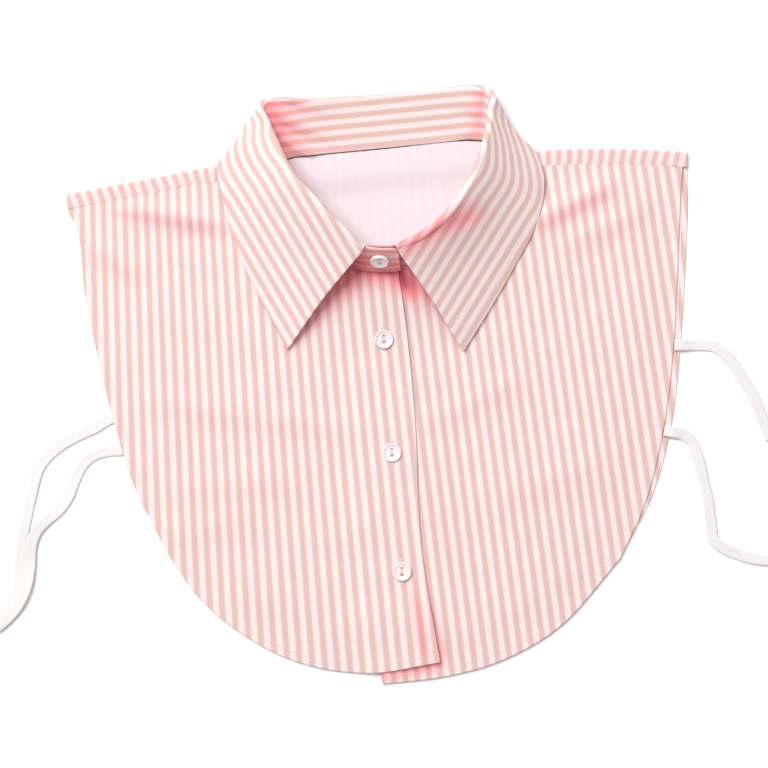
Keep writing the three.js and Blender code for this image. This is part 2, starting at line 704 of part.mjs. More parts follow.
// A button: a lathed saucer with a raised rim, drilled for its thread.
function buttonGeometry() {
  const profile = BUTTON_PROFILE.map((row) => new THREE.Vector2(row.radius, row.height));
  const saucer = new THREE.LatheGeometry(profile, BUTTON.sides);
  saucer.rotateX(Math.PI / 2);
  let solid = toSolid(saucer);
  for (const side of [-0.5, 0.5]) {
    const { hole, height, holeSides } = BUTTON;
    const drill = new THREE.CylinderGeometry(hole, hole, height * 3, holeSides);
    drill.rotateX(Math.PI / 2);
    drill.translate(0, side * BUTTON.spacing, 0);
    solid = solid.subtract(toSolid(drill));
  }
  return toGeometry(solid);
}

// Where a plumb line over a place meets a piece, and which way the cloth faces there.
function surfaceUnder(geometry, x, y) {
  const mesh = new THREE.Mesh(geometry, new THREE.MeshBasicMaterial({ side: THREE.DoubleSide }));
  const start = new THREE.Vector3(x, y, PLUMB_HEIGHT);
  const ray = new THREE.Raycaster(start, new THREE.Vector3(0, 0, -1));
  const hit = ray.intersectObject(mesh)[0];
  return { point: hit.point, facing: hit.face.normal };
}

function seat(button, point, facing, lift) {
  button.quaternion.setFromUnitVectors(new THREE.Vector3(0, 0, 1), facing);
  button.position.copy(point).addScaledVector(facing, lift);
}

// A flat tape along its route, level from side to side.
function tapeGeometry(rows) {
  const route = curveThrough(rows);
  route.arcLengthDivisions = LENGTH_SAMPLES;
  const grid = gridOf(TAPE_STEPS, 1, (t, v) => {
    const point = route.getPointAt(t);
    const tangent = route.getTangentAt(t);
    const aside = new THREE.Vector3(-tangent.y, tangent.x, 0).normalize();
    return point.addScaledVector(aside, (v - 0.5) * TAPE_WIDTH);
  });
  return wall(grid, TAPE_WALL, true);
}

const frontOver = buildFrontOver();

addPiece('back_panel', buildBack(), CLOTH);
addPiece('front_under', buildFrontUnder(), CLOTH);
addPiece('front_over', frontOver, CLOTH);
addPiece('collar_stand', buildStand(), CLOTH_SHADE);
addPiece('collar_leaf', buildLeaf(), CLOTH);

for (const { name, x, y } of FRONT_BUTTONS) {
  const { point, facing } = surfaceUnder(frontOver, x, y);
  seat(addPiece(name, buttonGeometry(), PEARL), point, facing, GAP + BUTTON_EASE);
}

const neckPlace = standSection(NECK_BUTTON_ROW / (STAND.length - 1));
const neckMiddle = neckPlace.seam.clone().lerp(neckPlace.fold, NECK_BUTTON_HEIGHT_SHARE);
const neckButton = addPiece('button_neck', buttonGeometry(), PEARL);
seat(neckButton, neckMiddle, neckPlace.out, STAND_WALL / 2 + GAP);

for (const [name, rows] of Object.entries(TAPES)) {
  addPiece(name, tapeGeometry(rows), TAPE);
}

// The origin lies under the middle of the garment, its tapes left out.
dickey.position.set(-GARMENT_MIDDLE.x, -GARMENT_MIDDLE.y, 0);

export default dickey;
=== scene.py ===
# %% [markdown]
# # A striped half-shirt dickey, laid flat
# A dickey is the part of a shirt that shows under a jumper: a collar, two buttoned fronts and a
# back, with tapes at the sides that tie it down. This one is pink and white striped shirting. It
# lies face up on a pale surface and is seen from straight above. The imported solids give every
# piece its place, so they are loaded first and their box is kept.

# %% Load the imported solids
import math

import bpy
import numpy as np
from mathutils import Matrix, Vector
from mathutils.bvhtree import BVHTree


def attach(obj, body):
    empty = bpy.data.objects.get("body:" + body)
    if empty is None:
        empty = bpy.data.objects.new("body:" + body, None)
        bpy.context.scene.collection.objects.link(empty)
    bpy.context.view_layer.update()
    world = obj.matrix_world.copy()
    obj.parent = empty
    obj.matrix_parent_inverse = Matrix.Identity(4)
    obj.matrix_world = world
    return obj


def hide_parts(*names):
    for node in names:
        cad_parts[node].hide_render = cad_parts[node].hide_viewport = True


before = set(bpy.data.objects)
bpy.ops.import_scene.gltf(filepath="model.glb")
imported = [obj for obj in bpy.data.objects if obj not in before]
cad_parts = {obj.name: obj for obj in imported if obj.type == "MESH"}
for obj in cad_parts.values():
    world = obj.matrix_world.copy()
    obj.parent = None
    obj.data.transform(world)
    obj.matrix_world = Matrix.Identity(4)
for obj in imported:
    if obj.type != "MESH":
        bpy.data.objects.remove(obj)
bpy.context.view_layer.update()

print("solids:", ", ".join(sorted(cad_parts)))

# %% [markdown]
# ## Measures
# The outlines are in millimetres, in the axes in which they were drawn. `GARMENT_MIDDLE` is the
# place under the middle of the garment that becomes the origin, and one helper turns drawn
# millimetres into Blender's metres.

# %% Millimetres to metres
MM = 0.001
GARMENT_MIDDLE = np.array([0.9, -0.2, 0.0])


def metres(points):
    return (np.asarray(points, float) - GARMENT_MIDDLE) * MM


# %% [markdown]
# ## Camera
# The picture is taken from straight above with a long lens. 768 pixels cover 460.8 mm of the
# surface, so one pixel is 0.6 mm. A lens of 125 mm on a 36 mm sensor sees that width from 1.6 m.

# %% Camera
PICTURE_WIDTH = 0.4608
PICTURE_MIDDLE = metres([4.8, 0, 0])
LENS = 125
SENSOR = 36

camera_data = bpy.data.cameras.new("camera")
camera_data.lens = LENS
camera_data.sensor_width = SENSOR
camera = bpy.data.objects.new("camera", camera_data)
bpy.context.scene.collection.objects.link(camera)
camera.location = Vector(PICTURE_MIDDLE) + Vector((0, 0, PICTURE_WIDTH * LENS / SENSOR))
bpy.context.scene.camera = camera
print("camera height", round(camera.location.z, 3), "m")

# %% [markdown]
# ## Curves through a table
# Tapes, outlines and collar all follow smooth curves through a few measured points. A centripetal
# Catmull-Rom curve passes through every point and never overshoots at a sharp turn, because its
# pace goes with the square root of the gap between two points. `curve` reads it by its rows,
# `by_length` by the length along it.

# %% Curve helpers
# Power of the squared gap, so it is the square root of the gap.
PACE = 0.25
LEAST_GAP = 1e-6
LEAST_LENGTH = 1e-12


def curve(rows):
    points = np.array(rows, float)
    if points.shape[1] == 2:
        points = np.column_stack([points, np.zeros(len(points))])
    padded = np.vstack([2 * points[0] - points[1], points, 2 * points[-1] - points[-2]])
    spans = len(points) - 1

    def at(t):
        place = np.clip(np.atleast_1d(np.asarray(t, float)), 0, 1) * spans
        row = np.minimum(place.astype(int), spans - 1)
        w = (place - row)[:, None]
        a, b, c, d = (padded[row + k] for k in range(4))
        ab, bc, cd = (
            np.maximum(np.sum((q - p) ** 2, 1) ** PACE, LEAST_GAP)[:, None]
            for p, q in ((a, b), (b, c), (c, d))
        )
        start = ((b - a) / ab - (c - a) / (ab + bc) + (c - b) / bc) * bc
        end = ((c - b) / bc - (d - b) / (bc + cd) + (d - c) / cd) * bc
        bend = 3 * (c - b) - 2 * start - end
        return b + start * w + bend * w**2 + (2 * (b - c) + start + end) * w**3

    return at


def run_length(points):
    steps = np.linalg.norm(np.diff(points, axis=0), axis=1)
    return np.concatenate([[0.0], np.cumsum(steps)])


def by_length(at, samples=400):
    t = np.linspace(0, 1, samples + 1)
    run = run_length(at(t))
    return lambda share: at(np.interp(np.clip(share, 0, 1), run / run[-1], t))


def unit(vectors):
    return vectors / np.maximum(np.linalg.norm(vectors, axis=-1, keepdims=True), LEAST_LENGTH)


def smooth(low, high, value):
    """0 up to low, 1 from high on, with a soft step between."""
    share = np.clip((value - low) / (high - low), 0, 1)
    return share * share * (3 - 2 * share)


def hump(value, middle, reach):
    """1 at the middle, fading over the reach to each side."""
    return np.exp(-(((value - middle) / reach) ** 2))


# %% [markdown]
# ## From a surface to cloth
# Cloth is a thin wall. Each piece is first a surface of four-sided faces, so the helpers make such
# faces for a grid of points, the way each point faces, and the edges that only one face has: they
# are the rim of the cloth.


# %% Surface helpers
def grid_faces(columns, rows, start=0):
    i, j = np.meshgrid(np.arange(columns - 1), np.arange(rows - 1), indexing="ij")
    a = start + i * rows + j
    return np.stack([a, a + 1, a + rows + 1, a + rows], -1).reshape(-1, 4)


def tube_faces(rings, sides, start=0):
    """Faces of a closed tube, ring after ring, and then a cap on each end."""
    last = start + (rings - 1) * sides
    faces = []
    for ring in range(start, last, sides):
        for k in range(sides):
            a, b = ring + k, ring + (k + 1) % sides
            faces.append((b + sides, a + sides, a, b))
    return faces + [tuple(reversed(range(start, start + sides))), tuple(range(last, last + sides))]


def point_normals(points, faces):
    corner = points[faces]
    crossed = np.cross(corner[:, 2] - corner[:, 0], corner[:, 3] - corner[:, 1])
    normals = np.zeros_like(points)
    for k in range(4):
        np.add.at(normals, faces[:, k], crossed)
    return unit(normals)


def rim_edges(faces):
    edges = np.concatenate([faces[:, [k, (k + 1) % 4]] for k in range(4)])
    keys = {(a, b) for a, b in edges.tolist()}
    return np.array([(a, b) for a, b in edges.tolist() if (b, a) not in keys])


# %% [markdown]
# A finished piece is a mesh whose points are already in their place, on an object at the origin.
# Its UV map is named `weave`: it says where on the woven cloth each point lies.


# %% Pieces from points and faces
def link(name, mesh):
    piece = bpy.data.objects.new(name, mesh)
    bpy.context.scene.collection.objects.link(piece)
    return piece


def mesh_piece(name, points, faces, uvs=None, materials=(), face_material=None, shade=None):
    mesh = bpy.data.meshes.new(name)
    mesh.from_pydata(points.tolist(), [], [list(f) for f in faces])
    if shade is not None:
        values = mesh.attributes.new("shade", "FLOAT", "POINT")
        values.data.foreach_set("value", shade.astype(np.float32))
    if uvs is not None:
        layer = mesh.uv_layers.new(name="weave")
        corners = np.zeros(len(mesh.loops), int)
        mesh.loops.foreach_get("vertex_index", corners)
        layer.data.foreach_set("uv", uvs[corners].astype(np.float32).ravel())
    for material in materials:
        mesh.materials.append(material)
    if face_material is not None:
        mesh.polygons.foreach_set("material_index", np.asarray(face_material, np.int32))
    mesh.polygons.foreach_set("use_smooth", np.ones(len(mesh.polygons), bool))
    mesh.update()
    return link(name, mesh)


def finished_mesh(piece):
    """A copy of the piece's mesh with its modifiers carried out."""
    seen = piece.evaluated_get(bpy.context.evaluated_depsgraph_get())
    return bpy.data.meshes.new_from_object(seen)


# %% [markdown]
# `cloth` lays a wall off to both sides of a surface and rounds the raw edge with three rings of
# points. The two sides can have different materials and different painted shade.

# %% A wall of cloth
RIM_ANGLES = (50, 0, -50)


def cloth(name, points, faces, uvs, above, below, materials, up=0, down=0, shade=0.0,
          shade_below=0.0):
    """points in drawn millimetres; above and below are the wall on each side of the surface;
    up and down are the materials' numbers on these sides."""
    normals = point_normals(points, faces)
    above = np.broadcast_to(above, len(points))[:, None]
    below = np.broadcast_to(below, len(points))[:, None]
    rim = rim_edges(faces)
    outward = np.zeros_like(points)
    side = unit(np.cross(points[rim[:, 1]] - points[rim[:, 0]], normals[rim[:, 0]]))
    for k in range(2):
        np.add.at(outward, rim[:, k], side)
    outward = unit(outward)
    count = len(points)
    rings = [points + normals * above, points - normals * below]
    rim_points = np.unique(rim)
    slot_of = np.full(count, -1)
    slot_of[rim_points] = np.arange(len(rim_points))
    middle = normals * (above - below) / 2
    half = (above + below) / 2
    for angle in RIM_ANGLES:
        turn = math.radians(angle)
        ring = points + middle + half * (normals * math.sin(turn) + outward * math.cos(turn))
        rings.append(ring[rim_points])
    all_points = np.vstack(rings)
    levels = [lambda p: p]
    for k in range(len(RIM_ANGLES)):
        start = 2 * count + k * len(rim_points)
        levels.append(lambda p, start=start: start + slot_of[p])
    levels.append(lambda p: p + count)
    a, b = rim[:, 0], rim[:, 1]
    bands = [np.stack([hi(b), hi(a), lo(a), lo(b)], -1) for hi, lo in zip(levels, levels[1:])]
    all_faces = np.vstack([faces, faces[:, ::-1] + count, *bands])
    index = np.concatenate([
        np.broadcast_to(up, len(faces)),
        np.broadcast_to(down, len(faces)),
        np.zeros(len(rim) * len(bands), int),
    ])
    all_uvs = np.vstack([uvs, uvs] + [uvs[rim_points]] * len(RIM_ANGLES))
    shade, shade_below = np.broadcast_to(shade, count), np.broadcast_to(shade_below, count)
    all_shade = np.concatenate([shade, shade_below] + [shade[rim_points]] * len(RIM_ANGLES))
    piece = mesh_piece(name, metres(all_points), all_faces, all_uvs, materials, index, all_shade)
    print(name, len(all_faces), "faces")
    return piece


# %% [markdown]
# ## White tapes
# Four limp cotton tapes are sewn to the sides. They come first because a free cord decides how
# much room the part takes. Each is a flat woven band 6.6 mm wide. It lies on the surface along
# the route that the picture shows, and its free end is finished plainly just outside the picture.

# %% Tape routes
# Middle of each tape: x, y and height, from the side seam out.
TAPE_WIDTH = 6.6
TAPE_HALF_THICKNESS = 0.36
TAPES = {
    "tie_left_front": [
        (-157, -20, 0.6), (-161, -21.6, 0.6), (-168, -26, 0.6), (-177.6, -30.4, 0.6),
        (-187.4, -35.8, 0.6), (-196.4, -43, 0.6), (-202.4, -51, 0.6), (-205.4, -61, 0.6),
        (-209, -77, 0.6), (-212.4, -95, 0.6), (-213.6, -112, 0.6), (-216.4, -127, 0.6),
        (-222, -136.4, 0.6), (-228, -142, 0.6),
    ],
    "tie_left_back": [
        (-152, -39.6, 0.6), (-160, -40.2, 0.6), (-168.6, -42.4, 0.6), (-175.8, -48.4, 0.6),
        (-180.6, -57.4, 0.6), (-184.8, -68, 0.6), (-190.6, -76, 0.8), (-197.8, -82, 1.5),
        (-203.6, -88.4, 1.95), (-206.6, -97, 1.95), (-207.4, -109, 1.95), (-209.4, -121, 1.95),
        (-214, -131.6, 1.95), (-220.6, -140, 1.95), (-228, -146.4, 1.95),
    ],
    "tie_right_front": [
        (178.8, 23.4, 2.1), (183.6, 23.4, 2.1), (189, 23.4, 1), (194.4, 23.4, 0.6),
        (203.4, 22.2, 0.6), (211.2, 16, 0.6), (218.4, 5.4, 0.6), (225.6, -6, 0.6),
        (230.8, -18, 0.6), (237, -33, 0.6),
    ],
    "tie_right_back": [
        (172.6, -27.8, 2.1), (178, -28.8, 2.1), (183.6, -30, 1), (188.4, -33.6, 0.6),
        (192.6, -43, 0.6), (196.2, -57.6, 0.6), (199.2, -70, 0.6), (201, -84.6, 0.6),
        (202.4, -92.8, 0.6), (207.6, -98, 0.6), (218.4, -102.6, 0.6), (228, -104.8, 0.6),
        (237, -105.8, 0.6),
    ],
}

# %% [markdown]
# ### Cotton tape
# The tape is a plain weave with a firm edge. Its threads are finer than a pixel, so the ribs are
# a shallow bump on the tape's own UV map: u across the tape, v along it, both in millimetres.


# %% Node helpers
def new_material(name):
    material = bpy.data.materials.new(name)
    material.use_nodes = True
    tree = material.node_tree
    tree.nodes.clear()
    shader = tree.nodes.new("ShaderNodeBsdfPrincipled")
    output = tree.nodes.new("ShaderNodeOutputMaterial")
    tree.links.new(shader.outputs["BSDF"], output.inputs["Surface"])
    return material, tree, shader


def feed(tree, node, **values):
    """Link or set a node's inputs by name, or by number with i and the number as keyword."""
    for name, value in values.items():
        numbered = name[0] == "i" and name[1:].isdigit()
        socket = node.inputs[int(name[1:]) if numbered else name]
        if isinstance(value, bpy.types.NodeSocket):
            tree.links.new(value, socket)
        else:
            socket.default_value = value
    return node


def add_node(tree, kind, settings=(), **values):
    """A new node with its settings made and its inputs fed."""
    node = tree.nodes.new(kind)
    for key, value in dict(settings).items():
        setattr(node, key, value)
    return feed(tree, node, **values)


def math_node(tree, operation, *values):
    given = {f"i{k}": value for k, value in enumerate(values)}
    return add_node(tree, "ShaderNodeMath", {"operation": operation}, **given).outputs[0]


def ripple(tree, value, turns):
    """A sine wave along a value."""
    return math_node(tree, "SINE", math_node(tree, "MULTIPLY", value, turns))


def weave_place(tree):
    """The u and the v of a place on the weave."""
    place = add_node(tree, "ShaderNodeUVMap", {"uv_map": "weave"})
    split = add_node(tree, "ShaderNodeSeparateXYZ", i0=place.outputs["UV"])
    return split.outputs["X"], split.outputs["Y"]


def spread_noise(tree, u, v, across, along):
    place = add_node(tree, "ShaderNodeCombineXYZ", X=math_node(tree, "MULTIPLY", u, across),
                     Y=math_node(tree, "MULTIPLY", v, along))
    grain = add_node(tree, "ShaderNodeTexNoise", Vector=place.outputs[0], Scale=1.0, Detail=2.0)
    return grain.outputs["Fac"]


def object_noise(tree, scale, detail, distortion=0.0):
    place = add_node(tree, "ShaderNodeTexCoord")
    grain = add_node(tree, "ShaderNodeTexNoise", Vector=place.outputs["Object"], Scale=scale,
                     Detail=detail, Distortion=distortion)
    return grain.outputs["Fac"]


# %% Bump and colour helpers
def bump(tree, shader, height, strength, distance):
    node = add_node(tree, "ShaderNodeBump", Height=height, Strength=strength, Distance=distance)
    feed(tree, shader, Normal=node.outputs["Normal"])


def mix_colour(tree, share, first, second, blend="MIX"):
    """Inputs 6 and 7 and output 2 of a Mix node are its colours."""
    node = add_node(tree, "ShaderNodeMix", {"data_type": "RGBA", "blend_type": blend},
                    i0=share, i6=first, i7=second)
    return node.outputs[2]


def linear(red, green, blue):
    """An sRGB colour, 0 to 255, as Blender's linear colour."""
    steps = [c / 255 for c in (red, green, blue)]
    return [*(s / 12.92 if s <= 0.04045 else ((s + 0.055) / 1.055) ** 2.4 for s in steps), 1.0]


# %% Cotton tape
TAPE_RIB = 0.9
TAPE_WARP = 0.55


def cotton_tape():
    material, tree, shader = new_material("cotton_tape")
    u, v = weave_place(tree)
    rib = ripple(tree, v, 2 * math.pi / TAPE_RIB)
    warp = ripple(tree, u, 2 * math.pi / TAPE_WARP)
    grain = spread_noise(tree, u, v, across=0.9, along=0.35)
    shade = mix_colour(tree, grain, linear(224, 223, 223), linear(238, 238, 237))
    threads = math_node(tree, "ADD", math_node(tree, "MULTIPLY", rib, warp), grain)
    bump(tree, shader, threads, strength=0.35, distance=0.00012)
    feed(tree, shader, **{"Base Color": shade, "Roughness": 0.92, "Sheen Weight": 0.12})
    return material


TAPE_COTTON = cotton_tape()

# %% [markdown]
# A tape is one section, carried along its route. It is a little thicker at its two woven edges.
# A limp tape never lies quite level, so it tilts a little to and fro, and is lifted as far as it
# tilts to stay clear of the surface.

# %% Tape laid along a route
TAPE_POINTS = 150
TAPE_LIFT = 0.12
TILT_WAVES = 3
TILT_SIZE = (0.03, 0.06)
TILT_LENGTH = (7, 16)
TILT_START = (0, 6.28)
TAPE_SECTION = [(-1, -0.35), (-1, 0.35), (-0.86, 1), (-0.45, 0.78), (0, 0.7), (0.45, 0.78),
                (0.86, 1), (1, 0.35), (1, -0.35), (0.86, -1), (0.45, -0.8), (0, -0.75),
                (-0.45, -0.8), (-0.86, -1)]


def tape_rings(rows, seed):
    """The middle line, the length along it, and the rings of points with their places."""
    middle = by_length(curve(rows))(np.linspace(0, 1, TAPE_POINTS))
    run = run_length(middle)
    tangent = unit(np.gradient(middle, axis=0))
    level = unit(np.column_stack([-tangent[:, 1], tangent[:, 0], np.zeros(len(tangent))]))
    rng = np.random.default_rng(seed)
    tilt = sum(
        rng.uniform(*TILT_SIZE)
        * np.sin(run / rng.uniform(*TILT_LENGTH) + rng.uniform(*TILT_START))
        for _ in range(TILT_WAVES)
    )
    half = TAPE_WIDTH / 2
    aside = level * np.cos(tilt)[:, None] + np.array([0, 0, 1]) * np.sin(tilt)[:, None]
    upward = unit(np.cross(tangent, aside))
    middle = middle + np.array([0, 0, 1]) * (TAPE_LIFT + np.abs(tilt) * half)[:, None]
    rings = [middle + aside * across * half + upward * height * TAPE_HALF_THICKNESS
             for across, height in TAPE_SECTION]
    places = [np.column_stack([np.full(len(run), (across + 1) * half), run])
              for across, _ in TAPE_SECTION]
    return middle, run, rings, places


def tape_piece(name, rows, seed):
    middle, run, rings, places = tape_rings(rows, seed)
    points = np.stack(rings, 1).reshape(-1, 3)
    uvs = np.stack(places, 1).reshape(-1, 2)
    faces = [face[::-1] for face in tube_faces(TAPE_POINTS, len(TAPE_SECTION))]
    piece = mesh_piece(name + "_tape", metres(points), faces, uvs, [TAPE_COTTON])
    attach(piece, "root")
    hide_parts(name)
    print(name, round(run[-1], 1), "mm long")


# %% Lay the tapes
for number, (tape_name, tape_rows) in enumerate(TAPES.items()):
    tape_piece(tape_name, tape_rows, seed=number)

# %% [markdown]
# ## Light and surface
# The picture has a white ground with hardly any shadow: a big soft light from the upper left and
# a bright surround. The key is a wide area light, very slightly cool. The world gives the rest and
# is faintly pink, so that cloth turned away from the key keeps its warm colour.

# %% Surface, lights and colour handling
FLOOR_SIZE = 60.0
FLOOR_GREY = 0.93
KEY_SIZE = 1.8
KEY_POWER = 104.0
KEY_PLACE = (-1.15, 1.55, 2.75)
KEY_COLOUR = (0.935, 1, 0.997)
WORLD_STRENGTH = 0.57
WORLD_COLOUR = (1, 0.86, 0.87, 1)


def pale_floor():
    material, tree, shader = new_material("pale_floor")
    feed(tree, shader, **{"Base Color": (FLOOR_GREY, FLOOR_GREY, FLOOR_GREY, 1), "Roughness": 0.9})
    half = FLOOR_SIZE / 2
    points = np.array([(-half, -half, 0), (half, -half, 0), (half, half, 0), (-half, half, 0)])
    floor = mesh_piece("floor", points, [(0, 1, 2, 3)], materials=[material])


pale_floor()

world = bpy.data.worlds.new("bright_room")
world.use_nodes = True
feed(world.node_tree, world.node_tree.nodes["Background"],
     Color=WORLD_COLOUR, Strength=WORLD_STRENGTH)
bpy.context.scene.world = world

key_data = bpy.data.lights.new("key", "AREA")
key_data.size = KEY_SIZE
key_data.energy = KEY_POWER
key_data.color = KEY_COLOUR
key = bpy.data.objects.new("key", key_data)
bpy.context.scene.collection.objects.link(key)
key.location = KEY_PLACE
key.rotation_euler = (-key.location).to_track_quat("-Z", "Y").to_euler()
bpy.context.scene.view_settings.view_transform = "Standard"

# %% [markdown]
# ## Striped shirting
# The cloth is woven from pink and white yarn in bands of equal width. One unit of its UV map is
# one repeat of the stripe, so the colour is a soft-edged band of the u value. Two noises stretched
# along the threads make the yarns uneven, and a fine checker of sines is the weave.

# %% Colour of the yarns
REPEAT = 6.8
YARN = 0.32
YARN_STREAK = 0.12
YARN_SLUB = 0.06
YARN_LEAST = 0.91
HALF_BAND = 0.25
WAVER = 0.05


def stripe_colour(tree, u, v, pink, white, softness):
    waver = math_node(tree, "MULTIPLY", spread_noise(tree, u, v, across=0.6, along=0.9), WAVER)
    phase = math_node(tree, "FRACT", math_node(tree, "ADD", u, waver))
    apart = math_node(tree, "ABSOLUTE", math_node(tree, "SUBTRACT", phase, 0.5))
    ends = {"From Min": HALF_BAND - softness, "From Max": HALF_BAND + softness}
    band = add_node(tree, "ShaderNodeMapRange", {"interpolation_type": "SMOOTHSTEP"},
                    Value=apart, **ends)
    return mix_colour(tree, band.outputs[0], pink, white)


def yarn_light(tree, u, v):
    """A grey near white, uneven from yarn to yarn and along each yarn."""
    streak = spread_noise(tree, u, v, across=REPEAT / YARN, along=0.7)
    slub = spread_noise(tree, u, v, across=1.2, along=9.0)
    uneven = math_node(tree, "ADD", math_node(tree, "MULTIPLY", streak, YARN_STREAK),
                       math_node(tree, "MULTIPLY", slub, YARN_SLUB))
    light = math_node(tree, "ADD", uneven, YARN_LEAST)
    grey = add_node(tree, "ShaderNodeCombineColor", Red=light, Green=light, Blue=light)
    return grey.outputs[0]


# %% [markdown]
# In deep places the shade is red, because light there has passed through pink cloth or met it
# several times. That shade is painted into the cloth's colour: a mesh attribute named `shade` says
# how much painted shade a place gets: 0 on open cloth, 1 where the painted shade is red, 2 where
# it is darkest. The tint goes with it.

# %% Tint of the painted shade
PAINTED_SHADE_TINT = (1.14, 0.47, 0.53, 1)
PAINTED_DARKEST_TINT = (0.42, 0.05, 0.1, 1)


def painted_shade_tint(tree):
    depth = add_node(tree, "ShaderNodeAttribute", {"attribute_name": "shade"}).outputs["Fac"]
    red_shade = mix_colour(tree, depth, (1, 1, 1, 1), PAINTED_SHADE_TINT)
    beyond = math_node(tree, "SUBTRACT", depth, 1.0)
    return mix_colour(tree, beyond, red_shade, PAINTED_DARKEST_TINT)


# %% [markdown]
# The cloth's right side and its wrong side are two materials. The wrong side shows the same
# stripes, much paler and softer.

# %% Striped cotton and its wrong side
PINK = linear(222, 188, 181)
WHITE = linear(237, 225, 224)
INSIDE_PINK = linear(234, 221, 227)
INSIDE_WHITE = linear(235, 223, 229)
CRUMPLE = 3.0


def shirting(name, pink, white, softness):
    material, tree, shader = new_material(name)
    u, v = weave_place(tree)
    stripes = stripe_colour(tree, u, v, pink, white, softness)
    uneven = mix_colour(tree, 1.0, stripes, yarn_light(tree, u, v), "MULTIPLY")
    # The painted shade of the `shade` attribute multiplies the colour.
    tinted = mix_colour(tree, 1.0, uneven, painted_shade_tint(tree), "MULTIPLY")
    turns = 2 * math.pi * REPEAT / YARN
    crossing = math_node(tree, "MULTIPLY", ripple(tree, u, turns), ripple(tree, v, turns))
    rumple = math_node(tree, "MULTIPLY", spread_noise(tree, u, v, across=0.9, along=0.5), CRUMPLE)
    bump(tree, shader, math_node(tree, "ADD", crossing, rumple), strength=0.25, distance=0.0001)
    feed(tree, shader, **{"Base Color": tinted, "Roughness": 0.88, "Sheen Weight": 0.08,
                          "Specular IOR Level": 0.3})
    return material


STRIPED = shirting("striped_cotton", PINK, WHITE, softness=0.1)
WRONG_SIDE = shirting("cotton_wrong_side", INSIDE_PINK, INSIDE_WHITE, softness=0.12)
SHIRT_CLOTH = [STRIPED, WRONG_SIDE]

# %% [markdown]
# On the panels the stripes fan out a little, because the cloth is smoothed outwards from the
# neck. They all point to one far place above the picture, so a stripe is an angle about it. The
# two fronts are cut and laid separately, so each has its own far place, and its own first stripe.

# %% Stripes of the panels
# Far place x, y, repeat of the stripe at the middle of the garment, place of the first stripe.
FAN_OVER = (-203, 1875, 6.85, 0.29)
FAN_UNDER = (-620, 4974, 6.79, 0.52)
FAN_BACK = (-174, 2400, 6.8, 0.3)


def panel_weave(points, fan):
    far_x, far_y, repeat, first = fan
    away = points[..., :2] - np.array([far_x, far_y])
    angle = repeat / math.hypot(far_x, far_y)
    across = np.arctan2(away[..., 0], -away[..., 1]) / angle + first
    along = np.hypot(away[..., 0], away[..., 1]) / REPEAT
    return np.stack([across, along], -1)


# %% [markdown]
# ## Outlines
# Each table is one edge of a panel, measured on the picture at 0.6 mm to the pixel. A panel is a
# patch between four such edges: near an edge its lines run beside it, so hems can follow them.

# %% Outline tables
SHOULDER_LEFT = [(-184.8, 114), (-139, 122.5), (-94, 130.4), (-76, 128), (-60.6, 129.6)]
SHOULDER_RIGHT = [(73, 140.4), (86, 138), (101, 140), (144, 141), (186, 139.2)]
BACK_NECKLINE = [(-58, 133.4), (-40, 136), (4, 140.2), (50, 145), (70, 144.6)]
LEFT_SIDE = [
    (-184.8, 114), (-178.2, 91), (-174, 53), (-165.6, 13), (-156, -25), (-144.6, -61),
    (-124.8, -101),
]
LEFT_HEM = [
    (-124.8, -101), (-106, -127.5), (-80, -149.5), (-46, -166.5), (-5, -172.8), (38, -166.2),
]
PLACKET_EDGE = [(15.6, 64.2), (18, 32.5), (23, -20), (27, -97), (38, -166.2)]
UNDER_EDGE = [(-9, 64.2), (-8, 32.5), (-5, -50), (4.2, -179.4)]
RIGHT_SIDE = [
    (181.8, 138), (181.8, 104), (178.2, 26.4), (172.6, -23), (161.4, -70), (146.4, -104),
]
RIGHT_HEM = [(4.2, -179.4), (43, -174.6), (76, -165), (110, -145), (146.4, -104)]
BACK_LEFT_SIDE = [
    (-184.8, 114), (-176.4, 91), (-172, 53), (-154, -25), (-142, -60.6), (-122.6, -99.6),
]
BACK_RIGHT_SIDE = [
    (186, 139.2), (186.6, 110), (182.4, 26.4), (177.4, -21), (166.4, -64), (148.4, -100.6),
]
BACK_HEM = [
    (-122.6, -99.6), (-103.6, -125.6), (-79, -147.2), (-45, -163.8), (-5, -170.4), (38, -169.6),
    (75, -161.6), (111, -139.8), (148.4, -100.6),
]


# %% Patch helpers
JOIN_SLACK = 1e-9
SHARE_DIGITS = 9


def joined(parts):
    """One edge made of several curves, each with its share of the whole."""
    starts = np.cumsum([0.0] + [share for _, share in parts])

    def at(t):
        t = np.atleast_1d(np.asarray(t, float))
        which = np.searchsorted(starts[1:-1], t - JOIN_SLACK)
        found = np.zeros((len(t), 3))
        for k, (part, share) in enumerate(parts):
            chosen = which == k
            if chosen.any():
                found[chosen] = part((t[chosen] - starts[k]) / share)
        return found

    return at


def patch(top, bottom, left, right, u, v):
    """Points between four edges, in columns for u and rows for v."""
    above, under = top(u)[:, None], bottom(u)[:, None]
    before, after = left(v)[None], right(v)[None]
    u, v = u[:, None, None], v[None, :, None]
    points = above * (1 - v) + under * v + before * (1 - u) + after * u
    corners = above[0] * (1 - u) * (1 - v) + above[-1] * u * (1 - v)
    return points - corners - under[0] * (1 - u) * v - under[-1] * u * v


def side_from(corner, rows):
    """A side edge that starts where the top edge ends."""
    return by_length(curve([tuple(corner[:2]), *rows[1:]]))


def steps(count, ends):
    """count even steps from 0 to 1 whose end steps are split for hems and seams."""
    inner = np.linspace(0, 1, count + 1)
    near = np.array(ends) / count
    return np.unique(np.round(np.concatenate([inner, near, 1 - near]), SHARE_DIGITS))


# %% [markdown]
# Hems, folds and shade all go by how far a place is from some line, seen from above. Slow uneven
# swells come from a few sine waves that run in different directions.

# %% Distance and drift helpers
BLOCK = 4000
DRIFT_WAVES = 7
WAVE_SPREAD = (0.7, 1.6)
DRIFT_SCALE = 3


